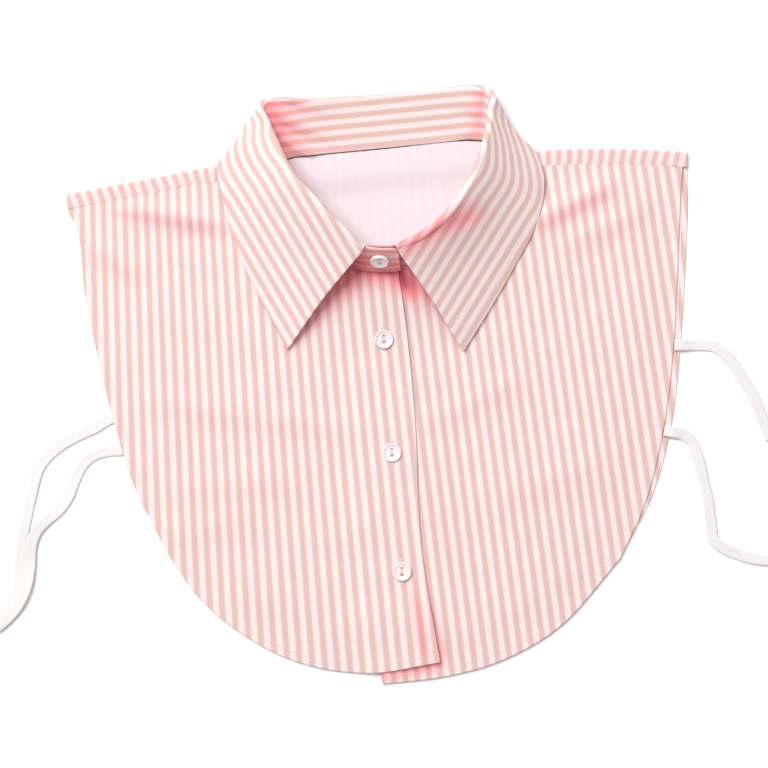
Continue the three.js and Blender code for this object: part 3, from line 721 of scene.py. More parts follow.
def near_line(x, y, line):
    """How far each place is from a line of points, and which point is nearest."""
    flat = np.column_stack([np.ravel(x), np.ravel(y)])
    distance = np.empty(len(flat))
    which = np.empty(len(flat), int)
    for start in range(0, len(flat), BLOCK):
        part = slice(start, start + BLOCK)
        gap = np.hypot(flat[part, None, 0] - line[:, 0], flat[part, None, 1] - line[:, 1])
        which[part] = gap.argmin(1)
        distance[part] = gap.min(1)
    return distance.reshape(np.shape(x)), which.reshape(np.shape(x))


def drift(x, y, size, seed):
    """A smooth uneven height between about -1 and 1, with swells about size long."""
    rng = np.random.default_rng(seed)
    total = 0.0
    for _ in range(DRIFT_WAVES):
        heading = rng.uniform(0, math.pi)
        length = size * rng.uniform(*WAVE_SPREAD)
        along = x * math.cos(heading) + y * math.sin(heading)
        total = total + np.sin(along * 2 * math.pi / length + rng.uniform(0, 2 * math.pi))
    return total / DRIFT_SCALE


# %% [markdown]
# ## Back
# The back lies on the surface with its wrong side up, which is what the neck opening shows. At the
# shoulders it wraps over the edge as a narrow strip and covers the seam of the front, so its right
# side and a chevron of stripes show there. Under the collar it climbs over the collar's back half.

# %% Heights of the layers
PANEL_WALL = 1.2
GAP = 0.3
BACK_HEIGHT = PANEL_WALL / 2
FRONT_HEIGHT = BACK_HEIGHT + PANEL_WALL + GAP
LAP_RISE = PANEL_WALL + GAP
STRIP_HEIGHT = 2.6
STRIP_WIDTH = 9
FIELD_HALF = 0.3
HEM_HALF = 0.45
HEM_WIDTH = 5.0

# %% Climb of the back over the collar
LEAF_UNDER = 2.8
NECKLINE_START = (-58, 133.6)
NECKLINE_RUN = 128
NECKLINE_RISE = 12.6
CLIMB_TO_NECK = (11, 27)
CLIMB_LEFT = (-84, -70)
CLIMB_RIGHT = (80, 94)


def back_climb(x, y):
    neck_y = NECKLINE_START[1] + (x - NECKLINE_START[0]) * NECKLINE_RISE / NECKLINE_RUN
    near_neck = 1 - smooth(*CLIMB_TO_NECK, neck_y - y)
    return LEAF_UNDER * near_neck * smooth(*CLIMB_LEFT, x) * (1 - smooth(*CLIMB_RIGHT, x))


# %% Flat part of the back
LEFT_SHARE = 0.35
NECK_SHARE = 0.35
RIGHT_SHARE = 0.3
BACK_COLUMNS = 120
BACK_ROWS = 96
END_STEPS = (0.08, 0.2, 0.4, 0.7)
OUTLINE_SAMPLES = 300
BEND_RADIUS = 1.0
BEND_INSET = 1.5
BACK_SINK = 0.12


def back_sheet():
    """The shares of its columns, its points, and its sides and hem as one line."""
    inset = [[(x, y - BEND_INSET) for x, y in rows] for rows in (SHOULDER_LEFT, SHOULDER_RIGHT)]
    top = joined([
        (by_length(curve(inset[0])), LEFT_SHARE),
        (by_length(curve(BACK_NECKLINE)), NECK_SHARE),
        (by_length(curve(inset[1])), RIGHT_SHARE),
    ])
    left = side_from(top(0)[0], BACK_LEFT_SIDE)
    right = side_from(top(1)[0], BACK_RIGHT_SIDE)
    foot = by_length(curve(BACK_HEM))
    seam_ends = [LEFT_SHARE, LEFT_SHARE + NECK_SHARE]
    u = np.unique(np.concatenate([steps(BACK_COLUMNS, END_STEPS), seam_ends]))
    points = patch(top, foot, left, right, u, steps(BACK_ROWS, END_STEPS))
    points[..., 2] = BACK_HEIGHT - BACK_SINK + back_climb(points[..., 0], points[..., 1])
    along = np.linspace(0, 1, OUTLINE_SAMPLES)
    return u, points, np.vstack([left(along), foot(along)[1:], right(along)[-2::-1]])


# %% [markdown]
# The section of a shoulder strip is a half round bend and then a level run. Its stripes go on from
# those of the back, as if folded over: a place on the strip has the weave of its mirror image in
# the shoulder edge.

# %% Shoulder strips
STRIP_HALF = 0.42
# A little shade is painted on the outer face of each shoulder strip.
STRIP_SHADE = 0.1
STRIP_SECTION = [
    (BEND_INSET - BEND_RADIUS * math.sin(turn), BEND_RADIUS * (1 - math.cos(turn)))
    for turn in np.radians([30, 60, 90, 120, 150, 180])
] + [(inset, 2 * BEND_RADIUS) for inset in (2.6, 4.2, 5.8, 7.2, 8.2, 8.7, STRIP_WIDTH)]


def unfolded(points, edge, heading):
    """Where points of the folded strip lay before it was folded over the shoulder edge."""
    normal = np.column_stack([-heading[:, 1], heading[:, 0]])
    gap = np.sum((edge[:, :2] - points[:, :2]) * normal, 1)
    return points[:, :2] + 2 * normal * gap[:, None]


def shoulder_strip(shoulder, share):
    """Points and weave of the strip, a column for each share of the shoulder."""
    edge = by_length(curve(shoulder))(share)
    heading = unit(np.gradient(edge[:, :2], axis=0))
    level = BACK_HEIGHT + back_climb(edge[:, 0], edge[:, 1] - STRIP_WIDTH / 2)
    rows = [np.column_stack([edge[:, 0], edge[:, 1] - drop, level + rise])
            for drop, rise in STRIP_SECTION]
    flat = [unfolded(row, edge, heading) for row in rows]
    return np.stack(rows, 1), panel_weave(np.stack(flat, 1), FAN_BACK)


# %% Back panel with its strips
BACK_HEM_FADE = (HEM_WIDTH - 0.5, HEM_WIDTH + 0.3)
SAME = 1e-6


def back_piece():
    u, points, outline = back_sheet()
    columns, rows = points.shape[:2]
    to_edge, _ = near_line(points[..., 0], points[..., 1], outline)
    hem = (1 - smooth(*BACK_HEM_FADE, to_edge)).ravel()
    field = grid_faces(columns, rows)
    stock, faces = [points.reshape(-1, 3)], [field]
    uvs = [panel_weave(points, FAN_BACK).reshape(-1, 2)]
    count = len(STRIP_SECTION)
    for shoulder, first, last in ((SHOULDER_LEFT, 0, LEFT_SHARE),
                                  (SHOULDER_RIGHT, LEFT_SHARE + NECK_SHARE, 1)):
        chosen = np.where((u >= first - SAME) & (u <= last + SAME))[0]
        strip, weave = shoulder_strip(shoulder, (u[chosen] - first) / (last - first))
        start = sum(len(part) for part in stock)
        seam = [(chosen[k] * rows, chosen[k + 1] * rows, start + (k + 1) * count, start + k * count)
                for k in range(len(chosen) - 1)]
        stock.append(strip.reshape(-1, 3))
        uvs.append(weave.reshape(-1, 2))
        faces += [np.array(seam), grid_faces(len(chosen), count, start)[:, ::-1]]
    stock, faces = np.vstack(stock), np.vstack(faces)
    up = np.ones(len(faces), int)
    up[:len(field)] = hem[field].mean(1) <= 0.5
    half = np.full(len(stock), STRIP_HALF)
    half[:len(hem)] = FIELD_HALF + (HEM_HALF - FIELD_HALF) * hem
    shade = np.full(len(stock), STRIP_SHADE)
    shade[:len(hem)] = 0
    piece = cloth("back_panel_cloth", stock, faces, np.vstack(uvs), half, half, SHIRT_CLOTH,
                  up=up, down=0, shade_below=shade)
    return piece, outline


back_cloth, back_outline = back_piece()

# %% [markdown]
# ## Fronts
# The right side of each front is up. Its top edge follows the shoulder seam and then the seam of
# the collar stand. From there the cloth sinks over a hand's width to lie on the back. The left
# front, as seen, laps the other by the width of the button band.

# %% Collar stand and leaf tables
# Stand: fold x, y, z, seam x, y, z, lap. Leaf: turn x, y, z, edge x, y, z.
STAND = np.array([
    (14, 77, 26.5, 15.4, 68.8, 10.4, 1.15), (12, 80, 29, 12.6, 68.6, 10.4, 1.15),
    (2.4, 80.4, 29.6, 2, 68.2, 10.6, 1.15), (-7, 82, 30.4, -10.4, 69.8, 10, 1.1),
    (-19, 92, 31, -25, 75, 8.6, 0.3), (-34.6, 107.8, 30, -41.4, 85.2, 6.8, 0),
    (-48, 122.8, 26.6, -52, 97.6, 5.8, 0), (-55.6, 136.8, 21.6, -57.2, 110.6, 5.4, 0),
    (-62.2, 152.4, 16, -58.4, 123.4, 5, 0), (-67, 165.2, 12.2, -56, 134, 5, 0),
    (-61.6, 168.6, 10.2, -48.6, 136.8, 3.9, 0), (-40, 168.8, 9.2, -34, 138.2, 3.8, 0),
    (-4, 171.2, 8.6, 2, 141.6, 3.8, 0), (40, 173.8, 9, 42, 145.6, 3.8, 0),
    (61.4, 175, 10.2, 58.6, 147.2, 3.9, 0), (67.2, 171.2, 12.2, 67.6, 144.6, 5, 0),
    (66.8, 158.6, 16, 70.8, 131.6, 5, 0), (64.4, 145.4, 21.4, 70.4, 119, 5.4, 0),
    (59.4, 129.6, 26, 66, 106.4, 5.8, 0), (51.6, 113.8, 29, 58, 94.4, 6.6, 0),
    (40.2, 99.4, 31, 46.6, 82.6, 8, 0), (26.4, 88, 30.8, 31, 73.8, 9.4, -0.6),
    (12.6, 81.4, 30, 14, 69, 10.2, -1.15), (2, 80.6, 29.6, 1, 68.2, 10.6, -1.15),
    (-5, 80.8, 29, -7, 69.2, 10.4, -1.15),
])
LEAF = np.array([
    (-31, 52, 17, -52.8, 21.6, 5.8), (-43, 70, 17, -66, 46.4, 5.8),
    (-57, 90, 16.5, -78, 70.4, 5.8), (-68.4, 108, 15.5, -87, 94, 5.7),
    (-76, 125.4, 13, -92, 114.6, 5.6), (-81.4, 145, 9, -93, 134, 3.2),
    (-73.4, 159.6, 4.4, -73, 131.8, 1.1), (-63, 158.6, 2.4, -56, 129.4, 1.1),
    (-40, 157.6, 2, -38, 128.4, 1.1), (-3, 159.6, 2, -1, 131, 1.1),
    (41, 162, 2, 43, 135, 1.1), (64, 164, 2.4, 62, 138, 1.1),
    (74.4, 162.6, 4.4, 77, 142.6, 1.1), (82.4, 149.6, 9, 91.6, 142.6, 3.2),
    (83.4, 134, 13, 99.4, 126.4, 5.6), (80.4, 120, 15.5, 99.4, 111, 5.7),
    (74.4, 104, 16.5, 94, 92.4, 5.8), (63.4, 87, 16.8, 83.4, 72.4, 5.8),
    (49, 69.4, 17, 69, 47.4, 5.8), (33, 51.6, 17, 52.2, 20.4, 5.8),
])
LEAF_FIRST_ROW = 3

# %% Sections of the stand
SECTION_STEP = 1e-3
fold_line = curve(STAND[:, 0:3])
seam_line = curve(STAND[:, 3:6])


def stand_lap(t):
    place = np.clip(t, 0, 1) * (len(STAND) - 1)
    row = np.minimum(place.astype(int), len(STAND) - 2)
    share = smooth(0, 1, place - row)
    return STAND[row, 6] * (1 - share) + STAND[row + 1, 6] * share


def stand_section(t):
    """Fold, seam, the way up and the way out at each place along the stand."""
    t = np.atleast_1d(np.asarray(t, float))
    fold, seam = fold_line(t), seam_line(t)
    ahead, behind = np.minimum(t + SECTION_STEP, 1), np.maximum(t - SECTION_STEP, 0)
    along = unit(fold_line(ahead) - fold_line(behind))
    up = fold - seam
    up = unit(up - along * np.sum(up * along, 1)[:, None])
    out = unit(np.cross(up, along))
    lap = out * stand_lap(t)[:, None]
    return fold + lap, seam + lap, up, out


# %% Top edges of the fronts
FRONT_DRAPE = 66
NECK_CLEARANCE = 1.12
SEAM_GAP = 0.25
SHOULDER_SHARE = 0.45
UNDER_SEAM_SHARE = 0.975
OVER_ROWS = (7.8, 0.2)
UNDER_ROWS = (23.7, 16.1)


def neck_side(first_row, last_row):
    def at(t):
        row = first_row + (last_row - first_row) * np.clip(t, 0, 1)
        _, seam, _, out = stand_section(row / (len(STAND) - 1))
        out[:, 2] = 0
        return seam + unit(out) * NECK_CLEARANCE

    return at


def seam_side(rows, last=1.0):
    at = by_length(curve(rows))

    def side(share):
        points = at(np.clip(share, 0, 1) * last)
        points[:, 2] = STRIP_HEIGHT + back_climb(points[:, 0], points[:, 1] - STRIP_WIDTH / 2)
        points[:, 1] -= STRIP_WIDTH + SEAM_GAP
        return points

    return side


over_top = joined([(seam_side(SHOULDER_LEFT), SHOULDER_SHARE),
                   (neck_side(*OVER_ROWS), 1 - SHOULDER_SHARE)])
under_top = joined([(neck_side(*UNDER_ROWS), 1 - SHOULDER_SHARE),
                    (seam_side(SHOULDER_RIGHT, UNDER_SEAM_SHARE), SHOULDER_SHARE)])
under_edge = by_length(curve(UNDER_EDGE))

# %% [markdown]
# The height of a front is one function of the place seen from above. The cloth bellies a little
# above the back and sinks to its hem. It has small swells, as pressed cloth has, and a few soft
# folds: one at each shoulder, where the weight of the collar draws the cloth, faint ones across
# the chest, and a lift of the button band's lower corner. A fold is a round ridge along a line.

# %% Soft folds of the fronts
FOLD_START = (-0.25, 0.3)
FOLD_END = (0.7, 1.25)
# Start x, y, end x, y, height, half width.
FOLDS_OVER = [
    (-158, 108, -92, 96, 2.3, 5.5), (-172, 84, -138, 66, 1.1, 6.5), (-138, -10, -16, -26, 0.6, 7),
    (-120, -62, -40, -52, 0.5, 9), (-128, -92, -70, -78, 0.5, 8),
]
FOLDS_UNDER = [
    (92, 96, 140, 120, 2.3, 5.5), (112, 84, 158, 104, 0.9, 6), (30, -24, 88, 4, 0.7, 6),
    (60, -70, 130, -48, 0.5, 9), (34, -46, 52, -110, 0.5, 7),
]


def fold_height(x, y, folds, shift=0.0):
    """Ridges along the folds, each moved shift half widths up."""
    height = np.zeros(np.shape(x))
    for start_x, start_y, end_x, end_y, rise, width in folds:
        length = math.hypot(end_x - start_x, end_y - start_y)
        ahead = (end_x - start_x) / length, (end_y - start_y) / length
        along = ((x - start_x) * ahead[0] + (y - start_y) * ahead[1]) / length
        beside = (y - start_y) * ahead[0] - (x - start_x) * ahead[1]
        taper = smooth(*FOLD_START, along) * (1 - smooth(*FOLD_END, along))
        height = height + rise * taper * np.exp(-((beside / width - shift) ** 2))
    return height


# %% Heights of the fronts
SEAM_SAMPLES = 241
LAP_RAMP = (-14, -2)
LEVEL_AT_EDGE = (2, 26)
LEVEL_AT_SEAM = (2, 22)
SWELL = 0.36
SWELL_SIZE = 62
SMALL_SWELL = 0.4
SMALL_SWELL_SIZE = 23
BELLY = 1.1
BELLY_WIDTH = 30
FOLD_FROM_SEAM = 10
FOLD_FROM_EDGE = 14
PUCKER = 0.05
PUCKER_SIZE = 9
PUCKER_REACH = (3, 14)
EDGE_FALL = 0.4
EDGE_FALL_WIDTH = 16
CORNER_LIFT = 1.6
CORNER_REACH = 55


def rest_height(x, y, lapping):
    """Height of the layer on the one below it, before any fold or swell."""
    rest = np.full(np.shape(x), FRONT_HEIGHT)
    if lapping:
        (_, top_y), (_, foot_y) = UNDER_EDGE[0], UNDER_EDGE[-1]
        share = np.clip((y - top_y) / (foot_y - top_y), 0, 1)
        edge = under_edge(np.ravel(share))[:, 0].reshape(np.shape(x))
        rest = rest + LAP_RISE * smooth(*LAP_RAMP, x - edge)
    return rest


def front_height(x, y, top, outline, seed, lapping, folds):
    samples = top(np.linspace(0, 1, SEAM_SAMPLES))
    rest = rest_height(x, y, lapping)
    gap, nearest = near_line(x, y, samples)
    edge_gap, _ = near_line(x, y, outline)
    hung = (1 - smooth(0, FRONT_DRAPE, gap)) ** 2
    height = rest + np.maximum(samples[nearest, 2] - rest, 0) * hung
    inner = smooth(*LEVEL_AT_EDGE, edge_gap) * smooth(*LEVEL_AT_SEAM, gap)
    swell = SWELL * drift(x, y, SWELL_SIZE, seed)
    swell = swell + SWELL * SMALL_SWELL * drift(x, y, SMALL_SWELL_SIZE, seed + 1)
    swell = swell + BELLY * smooth(0, BELLY_WIDTH, edge_gap)
    folded = fold_height(x, y, folds) * smooth(0, FOLD_FROM_SEAM, gap)
    folded = folded * smooth(0, FOLD_FROM_EDGE, edge_gap)
    pucker = PUCKER * drift(x, y, PUCKER_SIZE, seed + 2) * (1 - smooth(*PUCKER_REACH, edge_gap))
    fall = EDGE_FALL * (1 - smooth(0, EDGE_FALL_WIDTH, edge_gap))
    height = height + swell * inner + folded + pucker - fall
    if lapping:
        corner = np.hypot(x - LEFT_HEM[-1][0], y - LEFT_HEM[-1][1])
        height = height + CORNER_LIFT * (1 - smooth(0, CORNER_REACH, corner))
    return height


# %% [markdown]
# Shade is painted on the fronts under the collar and along the foot of the stand, where the two
# shades add up to more than 1, beside the button band, and a little at the lower side of each fold.

# %% Painted shade of the fronts
# Painted shade under the collar and along the foot of the stand. Each row is x, y, reach of the
# shade to each side, strength.
COLLAR_PAINTED_SHADE = [
    (-52.8, 21.6, 3.5, 0.35), (-42, 37, 7, 0.6), (-31, 52, 10, 0.8), (-18, 64, 12, 1),
    (-9, 70, 12, 1), (14, 66, 11, 1), (24, 59, 8, 1), (30, 53, 6, 0.6), (38, 42, 4, 0.2),
    (52.2, 20.4, 3, 0.1),
]
STAND_FOOT_SHADE = [(-18, 70.5, 3.5, 0.2), (-9, 69, 3.5, 0.75), (2, 67, 2.6, 0.6), (14, 66.5, 3.5, 0.8),
              (17.5, 59, 4, 0.95), (21.5, 50, 3.2, 0.5), (24.5, 41, 2.5, 0)]
# Painted shade along the button band: on the under front at its edge and corner, on the over front
# in a crease beside it.
LAP_PAINTED_SHADE = [(27.5, -100, 2.5, 0.1), (31, -130, 2.5, 0.5), (38, -166, 3.5, 0.8),
            (20, -171.5, 4, 0.8), (5, -175, 4, 0.6)]
BAND_CREASE_SHADE = [(20, -112, 2.5, 0), (24.5, -134, 3.2, 0.5), (28.5, -156, 3.6, 0.6),
               (30, -166, 4, 0.3)]
LINE_STEPS = 160
DARKEST_SHADE = 2
# Painted shade on the lower side of each fold, moved down from its ridge.
FOLD_SHADE = 0.16
FOLD_SHADE_SHIFT = -0.9


def painted_shade_along(x, y, rows):
    """Painted shade beside a line: it fades over the reach, with the strength, that the table
    gives.
    """
    rows = np.array(rows)
    t = np.linspace(0, 1, LINE_STEPS)
    line = curve(rows[:, :2])(t)
    order = np.linspace(0, 1, len(rows))
    gap, nearest = near_line(x, y, line)
    reach = np.interp(t, order, rows[:, 2])[nearest]
    strength = np.interp(t, order, rows[:, 3])[nearest]
    return strength * hump(gap, 0, reach)


# Painted shade of a front, from 0 to 2.
def front_shade(x, y, lapping, folds):
    shade = painted_shade_along(x, y, COLLAR_PAINTED_SHADE) + painted_shade_along(x, y, STAND_FOOT_SHADE)
    shade = shade + FOLD_SHADE * fold_height(x, y, folds, FOLD_SHADE_SHIFT)
    return np.clip(shade + painted_shade_along(x, y, BAND_CREASE_SHADE if lapping else LAP_PAINTED_SHADE), 0, DARKEST_SHADE)


# %% [markdown]
# A hem is a little thicker than single cloth, and its row of stitches lies in a shallow groove.

# %% Front panels
FRONT_HEM_FADE = (HEM_WIDTH - 0.4, HEM_WIDTH + 0.5)
HEM_ABOVE = 0.1
HEM_BELOW = 0.15
GROOVE = 0.07
GROOVE_PLACE = HEM_WIDTH - 0.6
GROOVE_REACH = 0.55


def front_piece(name, top, bottom, left_rows, right_rows, seed, lapping, fan, folds,
                columns, rows):
    left = side_from(top(0)[0], left_rows)
    right = side_from(top(1)[0], right_rows)
    foot = by_length(curve(bottom))
    u, v = steps(columns, END_STEPS), steps(rows, END_STEPS)
    points = patch(top, foot, left, right, u, v)
    x, y = points[..., 0], points[..., 1]
    along = np.linspace(0, 1, OUTLINE_SAMPLES)
    if lapping:
        outline = np.vstack([left(along), foot(along)[1:]])
    else:
        outline = np.vstack([foot(along), right(along)[-2::-1]])
    points[..., 2] = front_height(x, y, top, outline, seed, lapping, folds)
    to_edge, _ = near_line(x, y, outline)
    hem = 1 - smooth(*FRONT_HEM_FADE, to_edge)
    above = FIELD_HALF + HEM_ABOVE * hem - GROOVE * hump(to_edge, GROOVE_PLACE, GROOVE_REACH)
    below = FIELD_HALF + HEM_BELOW * hem
    piece = cloth(name, points.reshape(-1, 3), grid_faces(len(u), len(v)),
                  panel_weave(points, fan).reshape(-1, 2), above.ravel(), below.ravel(),
                  SHIRT_CLOTH, up=0, down=1, shade=front_shade(x, y, lapping, folds).ravel())
    return piece, outline


# %% Make the fronts
under_cloth, under_outline = front_piece(
    "front_under_cloth", under_top, RIGHT_HEM, UNDER_EDGE, RIGHT_SIDE, seed=11, lapping=False,
    fan=FAN_UNDER, folds=FOLDS_UNDER, columns=120, rows=120)
over_cloth, over_outline = front_piece(
    "front_over_cloth", over_top, LEFT_HEM, LEFT_SIDE, PLACKET_EDGE, seed=21, lapping=True,
    fan=FAN_OVER, folds=FOLDS_OVER, columns=130, rows=120)

# %% [markdown]
# ## Collar stand
# The stand is a firm band, two layers of cloth over stiffening, that runs round the neck and
# buttons at the front. Its stripes run along it. The surface is ruled from the seam to the fold,
# bowed out a little, and pressed in by a few crumples near its two inner corners.

# %% Helpers for the stand and the leaf
def surface_piece(name, points, half, along, across, shade, shade_below):
    """points in columns and rows; along is a length for each column, across counts stripes."""
    run = np.broadcast_to(along[:, None] / REPEAT, across.shape)
    uvs = np.stack([across, run], -1).reshape(-1, 2)
    return cloth(name, points.reshape(-1, 3), grid_faces(*points.shape[:2]), uvs,
                 half.ravel(), half.ravel(), [STRIPED], shade=np.ravel(shade),
                 shade_below=np.ravel(shade_below))


def column_run(points):
    """Length along the middle row, for each column, and down each column, for each point."""
    middle = points[:, points.shape[1] // 2]
    along = run_length(middle)
    down = np.stack([run_length(column) for column in points])
    return along, down


# %% Shape of the stand
STAND_COLUMNS = 260
STAND_ROWS = 22
STAND_END_STEPS = (0.15, 0.4)
STAND_BOW = 0.3
# Row of the stand's table, reach in rows, depth in millimetres.
STAND_CRUMPLES = [(10.3, 0.8, 2.6), (13.9, 0.5, 1.3)]
CRUMPLE_WAVES_UP = 1.9
CRUMPLE_WAVES_ALONG = 0.6

stand_t = steps(STAND_COLUMNS, END_STEPS)
stand_v = steps(STAND_ROWS, STAND_END_STEPS)
fold, seam, _, stand_out = stand_section(stand_t)
stand_points = seam[:, None] + (fold - seam)[:, None] * stand_v[None, :, None]
bow = STAND_BOW * np.sin(math.pi * stand_v)
stand_points = stand_points + bow[None, :, None] * stand_out[:, None]
stand_row = stand_t[:, None] * (len(STAND) - 1)
stand_height = stand_v[None, :]
for row, reach, depth in STAND_CRUMPLES:
    turns = CRUMPLE_WAVES_UP * stand_height + CRUMPLE_WAVES_ALONG * (stand_row - row)
    wave = 0.5 + 0.5 * np.sin(2 * math.pi * turns)
    pressed = hump(stand_row, row, reach) * wave * depth
    stand_points = stand_points - pressed[..., None] * stand_out[:, None]
stand_along, stand_down = column_run(stand_points)

# %% [markdown]
# Red shade is painted on the outer face of the stand at the front, most of all at its foot and
# where the left leaf comes down over it. It is painted on the inner face in the two corners of the
# neck opening. The places of all these are rows of the stand's table.

# %% Painted shade of the stand, and its cloth
STAND_HALF = 0.75
STAND_REPEAT = 6.35
STAND_FIRST_STRIPE = 0.2
FRONT_END_LEFT = (2.6, 4.6)
FRONT_END_RIGHT = (20, 21.6)
FRONT_END_SHADE = 0.85
FRONT_END_FADE = 0.35
FADE_UP = (0.3, 0.9)
UNDER_LEAF = (3.4, 0.6)
UNDER_LEAF_SHADE = 0.9
UNDER_LEAF_UP = (0.3, 1.0)
LEFT_CORNER = (9.5, 1.2)
LEFT_CORNER_SHADE = (0.75, 0.25)
RIGHT_CORNER = (14.2, 0.45)
RIGHT_CORNER_SHADE = 0.6

# Painted shade: outer face at the front end and under the left point, inner face at the two
# corners.
front_end = 1 - smooth(*FRONT_END_LEFT, stand_row) + smooth(*FRONT_END_RIGHT, stand_row)
outer_shade = front_end * (FRONT_END_SHADE - FRONT_END_FADE * smooth(*FADE_UP, stand_height))
under_leaf = hump(stand_row, *UNDER_LEAF) * (1 - smooth(*UNDER_LEAF_UP, stand_height))
outer_shade = outer_shade + UNDER_LEAF_SHADE * under_leaf
corner_foot, corner_rise = LEFT_CORNER_SHADE
inner_shade = hump(stand_row, *LEFT_CORNER) * (corner_foot + corner_rise * stand_height)
inner_shade = inner_shade + RIGHT_CORNER_SHADE * hump(stand_row, *RIGHT_CORNER)
stand_half = np.full(stand_points.shape[:2], STAND_HALF)
stand_cloth = surface_piece(
    "collar_stand_cloth", stand_points, stand_half, stand_along,
    stand_down / STAND_REPEAT + STAND_FIRST_STRIPE, outer_shade, inner_shade)

# %% [markdown]
# ## Collar leaf
# The leaf rolls over the fold of the stand and slopes to its outer edge, which ends in two
# points. At the back it is folded flat beneath the back panel. A shallow crease runs slantwise over
# its right half, with red shade painted along it on the visible face. Two layers and a seam all
# round make the edge thicker than the cloth.

# %% Surface of the leaf
ROLL_RADIUS = 1.9
ROLL_STEPS = 4
ROLL_SHARE = ROLL_STEPS / (ROLL_STEPS + 2)
ROLL_POINTS = 13
SLOPE_ROWS = 34
SLOPE_END_STEPS = (0.15, 0.4)
LEAF_COLUMNS = 250
LEAF_END_STEPS = (0.1, 0.3, 0.6)
leaf_turn = curve(LEAF[:, 0:3])
leaf_edge = curve(LEAF[:, 3:6])


def leaf_surface(t, places):
    row = LEAF_FIRST_ROW + t * (len(LEAF) - 1)
    top, _, up, out = stand_section(row / (len(STAND) - 1))
    turn, edge = leaf_turn(t), leaf_edge(t)
    columns = []
    for k in range(len(t)):
        control = []
        for step in range(ROLL_STEPS + 1):
            angle = math.pi * step / ROLL_STEPS
            rise = 2 * GAP + ROLL_RADIUS * math.sin(angle)
            control.append(top[k] + up[k] * rise + out[k] * ROLL_RADIUS * (1 - math.cos(angle)))
        control += [turn[k], edge[k]]
        columns.append(curve(control)(places))
    return np.array(columns)


leaf_t = steps(LEAF_COLUMNS, LEAF_END_STEPS)
roll_places = np.linspace(0, ROLL_SHARE, ROLL_POINTS)
slope_places = ROLL_SHARE + (1 - ROLL_SHARE) * steps(SLOPE_ROWS, SLOPE_END_STEPS)[1:]
leaf_points = leaf_surface(leaf_t, np.concatenate([roll_places, slope_places]))

# %% Crease, its painted shade, and edge of the leaf
LEAF_HALF = 0.55
STREAK_LINE = [(18, 82), (39, 93), (57, 100), (74, 103)]
STREAK_REACH = 6.5
STREAK_DEPTH = 1.2
# Red shade painted along the crease, on the leaf's visible face.
STREAK_SHADE = 0.8
# Places along the streak, counted in steps of its line.
CREASE_START = 30
STREAK_END = (90, 158)
EDGE_THICKER = 0.12
EDGE_FADE = (0.8, 5.5)
SEAM_GROOVE = 0.1
LEAF_SEAM_GAP = 5.2
SEAM_GROOVE_REACH = 0.6

streak_line = by_length(curve(STREAK_LINE))(np.linspace(0, 1, LINE_STEPS))
streak_gap, nearest = near_line(leaf_points[..., 0], leaf_points[..., 1], streak_line)
streak = hump(streak_gap, 0, STREAK_REACH) * (1 - smooth(*STREAK_END, nearest))
crease = streak * smooth(0, CREASE_START, nearest)
crease[:, :ROLL_POINTS] = 0
leaf_points[..., 2] -= STREAK_DEPTH * crease
leaf_along, leaf_down = column_run(leaf_points)
from_edge = leaf_down[:, -1:] - leaf_down
from_front = np.minimum(leaf_along, leaf_along[-1] - leaf_along)[:, None]
rim_gap = np.minimum(from_edge, from_front)
leaf_half = LEAF_HALF + EDGE_THICKER * (1 - smooth(*EDGE_FADE, rim_gap))
leaf_half = leaf_half - SEAM_GROOVE * hump(rim_gap, LEAF_SEAM_GAP, SEAM_GROOVE_REACH)

# %% [markdown]
# On the two points of the leaf the stripes are straight, as seen from above. At the back they
# follow the outer edge. Where the two ways meet, one is faded into the other over about two rows of
# the leaf's table, with the place of the first stripe chosen so that the bands run on.

# %% Stripes of the leaf
LEAF_REPEAT = 6.6
# Way across the stripes in degrees, repeat, place of the first stripe.
LEAF_LEFT_STRIPES = (30, 6.15, 0.18)
LEAF_RIGHT_STRIPES = (148.5, 6.27, -0.465)
LEAF_JOINS = (4.5, 15.1)
JOIN_LEFT = (-1, 1.2)
JOIN_RIGHT = (-1, 0.9)


def straight_stripes(heading, repeat, first):
    """Stripes that are straight seen from above; heading is the way across them, in degrees."""
    turn = math.radians(heading)
    across = leaf_points[..., 0] * math.cos(turn) + leaf_points[..., 1] * math.sin(turn)
    return across / repeat + first


def leaf_stripes():
    row = (leaf_t * (len(LEAF) - 1))[:, None]
    left = straight_stripes(*LEAF_LEFT_STRIPES)
    right = straight_stripes(*LEAF_RIGHT_STRIPES)
    back = from_edge / LEAF_REPEAT
    joins = [int(np.argmin(np.abs(row[:, 0] - join))) for join in LEAF_JOINS]
    shift_left = np.mean((left - back)[joins[0], ROLL_POINTS:])
    shift_right = np.mean((right - back)[joins[1], ROLL_POINTS:])
    whole = round(shift_right - shift_left)
    back = back + np.interp(row, LEAF_JOINS, (shift_left, shift_right - whole))
    to_left = 1 - smooth(*JOIN_LEFT, row - LEAF_JOINS[0])
    to_right = smooth(*JOIN_RIGHT, row - LEAF_JOINS[1])
    stripes = left * to_left + (right - whole) * to_right + back * (1 - to_left - to_right)
    last = ROLL_POINTS - 1
    roll = leaf_down[:, last:last + 1] - leaf_down[:, :last]
    stripes[:, :last] = stripes[:, last:last + 1] + roll / REPEAT
    return stripes


# The leaf's visible face is its lower side in the table, so the painted shade goes there.
leaf_cloth = surface_piece("collar_leaf_cloth", leaf_points, leaf_half, leaf_along,
                           leaf_stripes(), 0.0, STREAK_SHADE * streak)

# %% [markdown]
# ## Places on the finished cloth
# Stitches and buttons sit on the cloth, so their places are found on the finished meshes. A plumb
# line dropped on a mesh gives the height and the slope there.


# %% Find places on cloth
PLUMB_START = 150.0
THREAD_LIFT = 0.05


def search_tree(piece):
    mesh = piece.data
    return BVHTree.FromPolygons([v.co for v in mesh.vertices], [f.vertices for f in mesh.polygons])


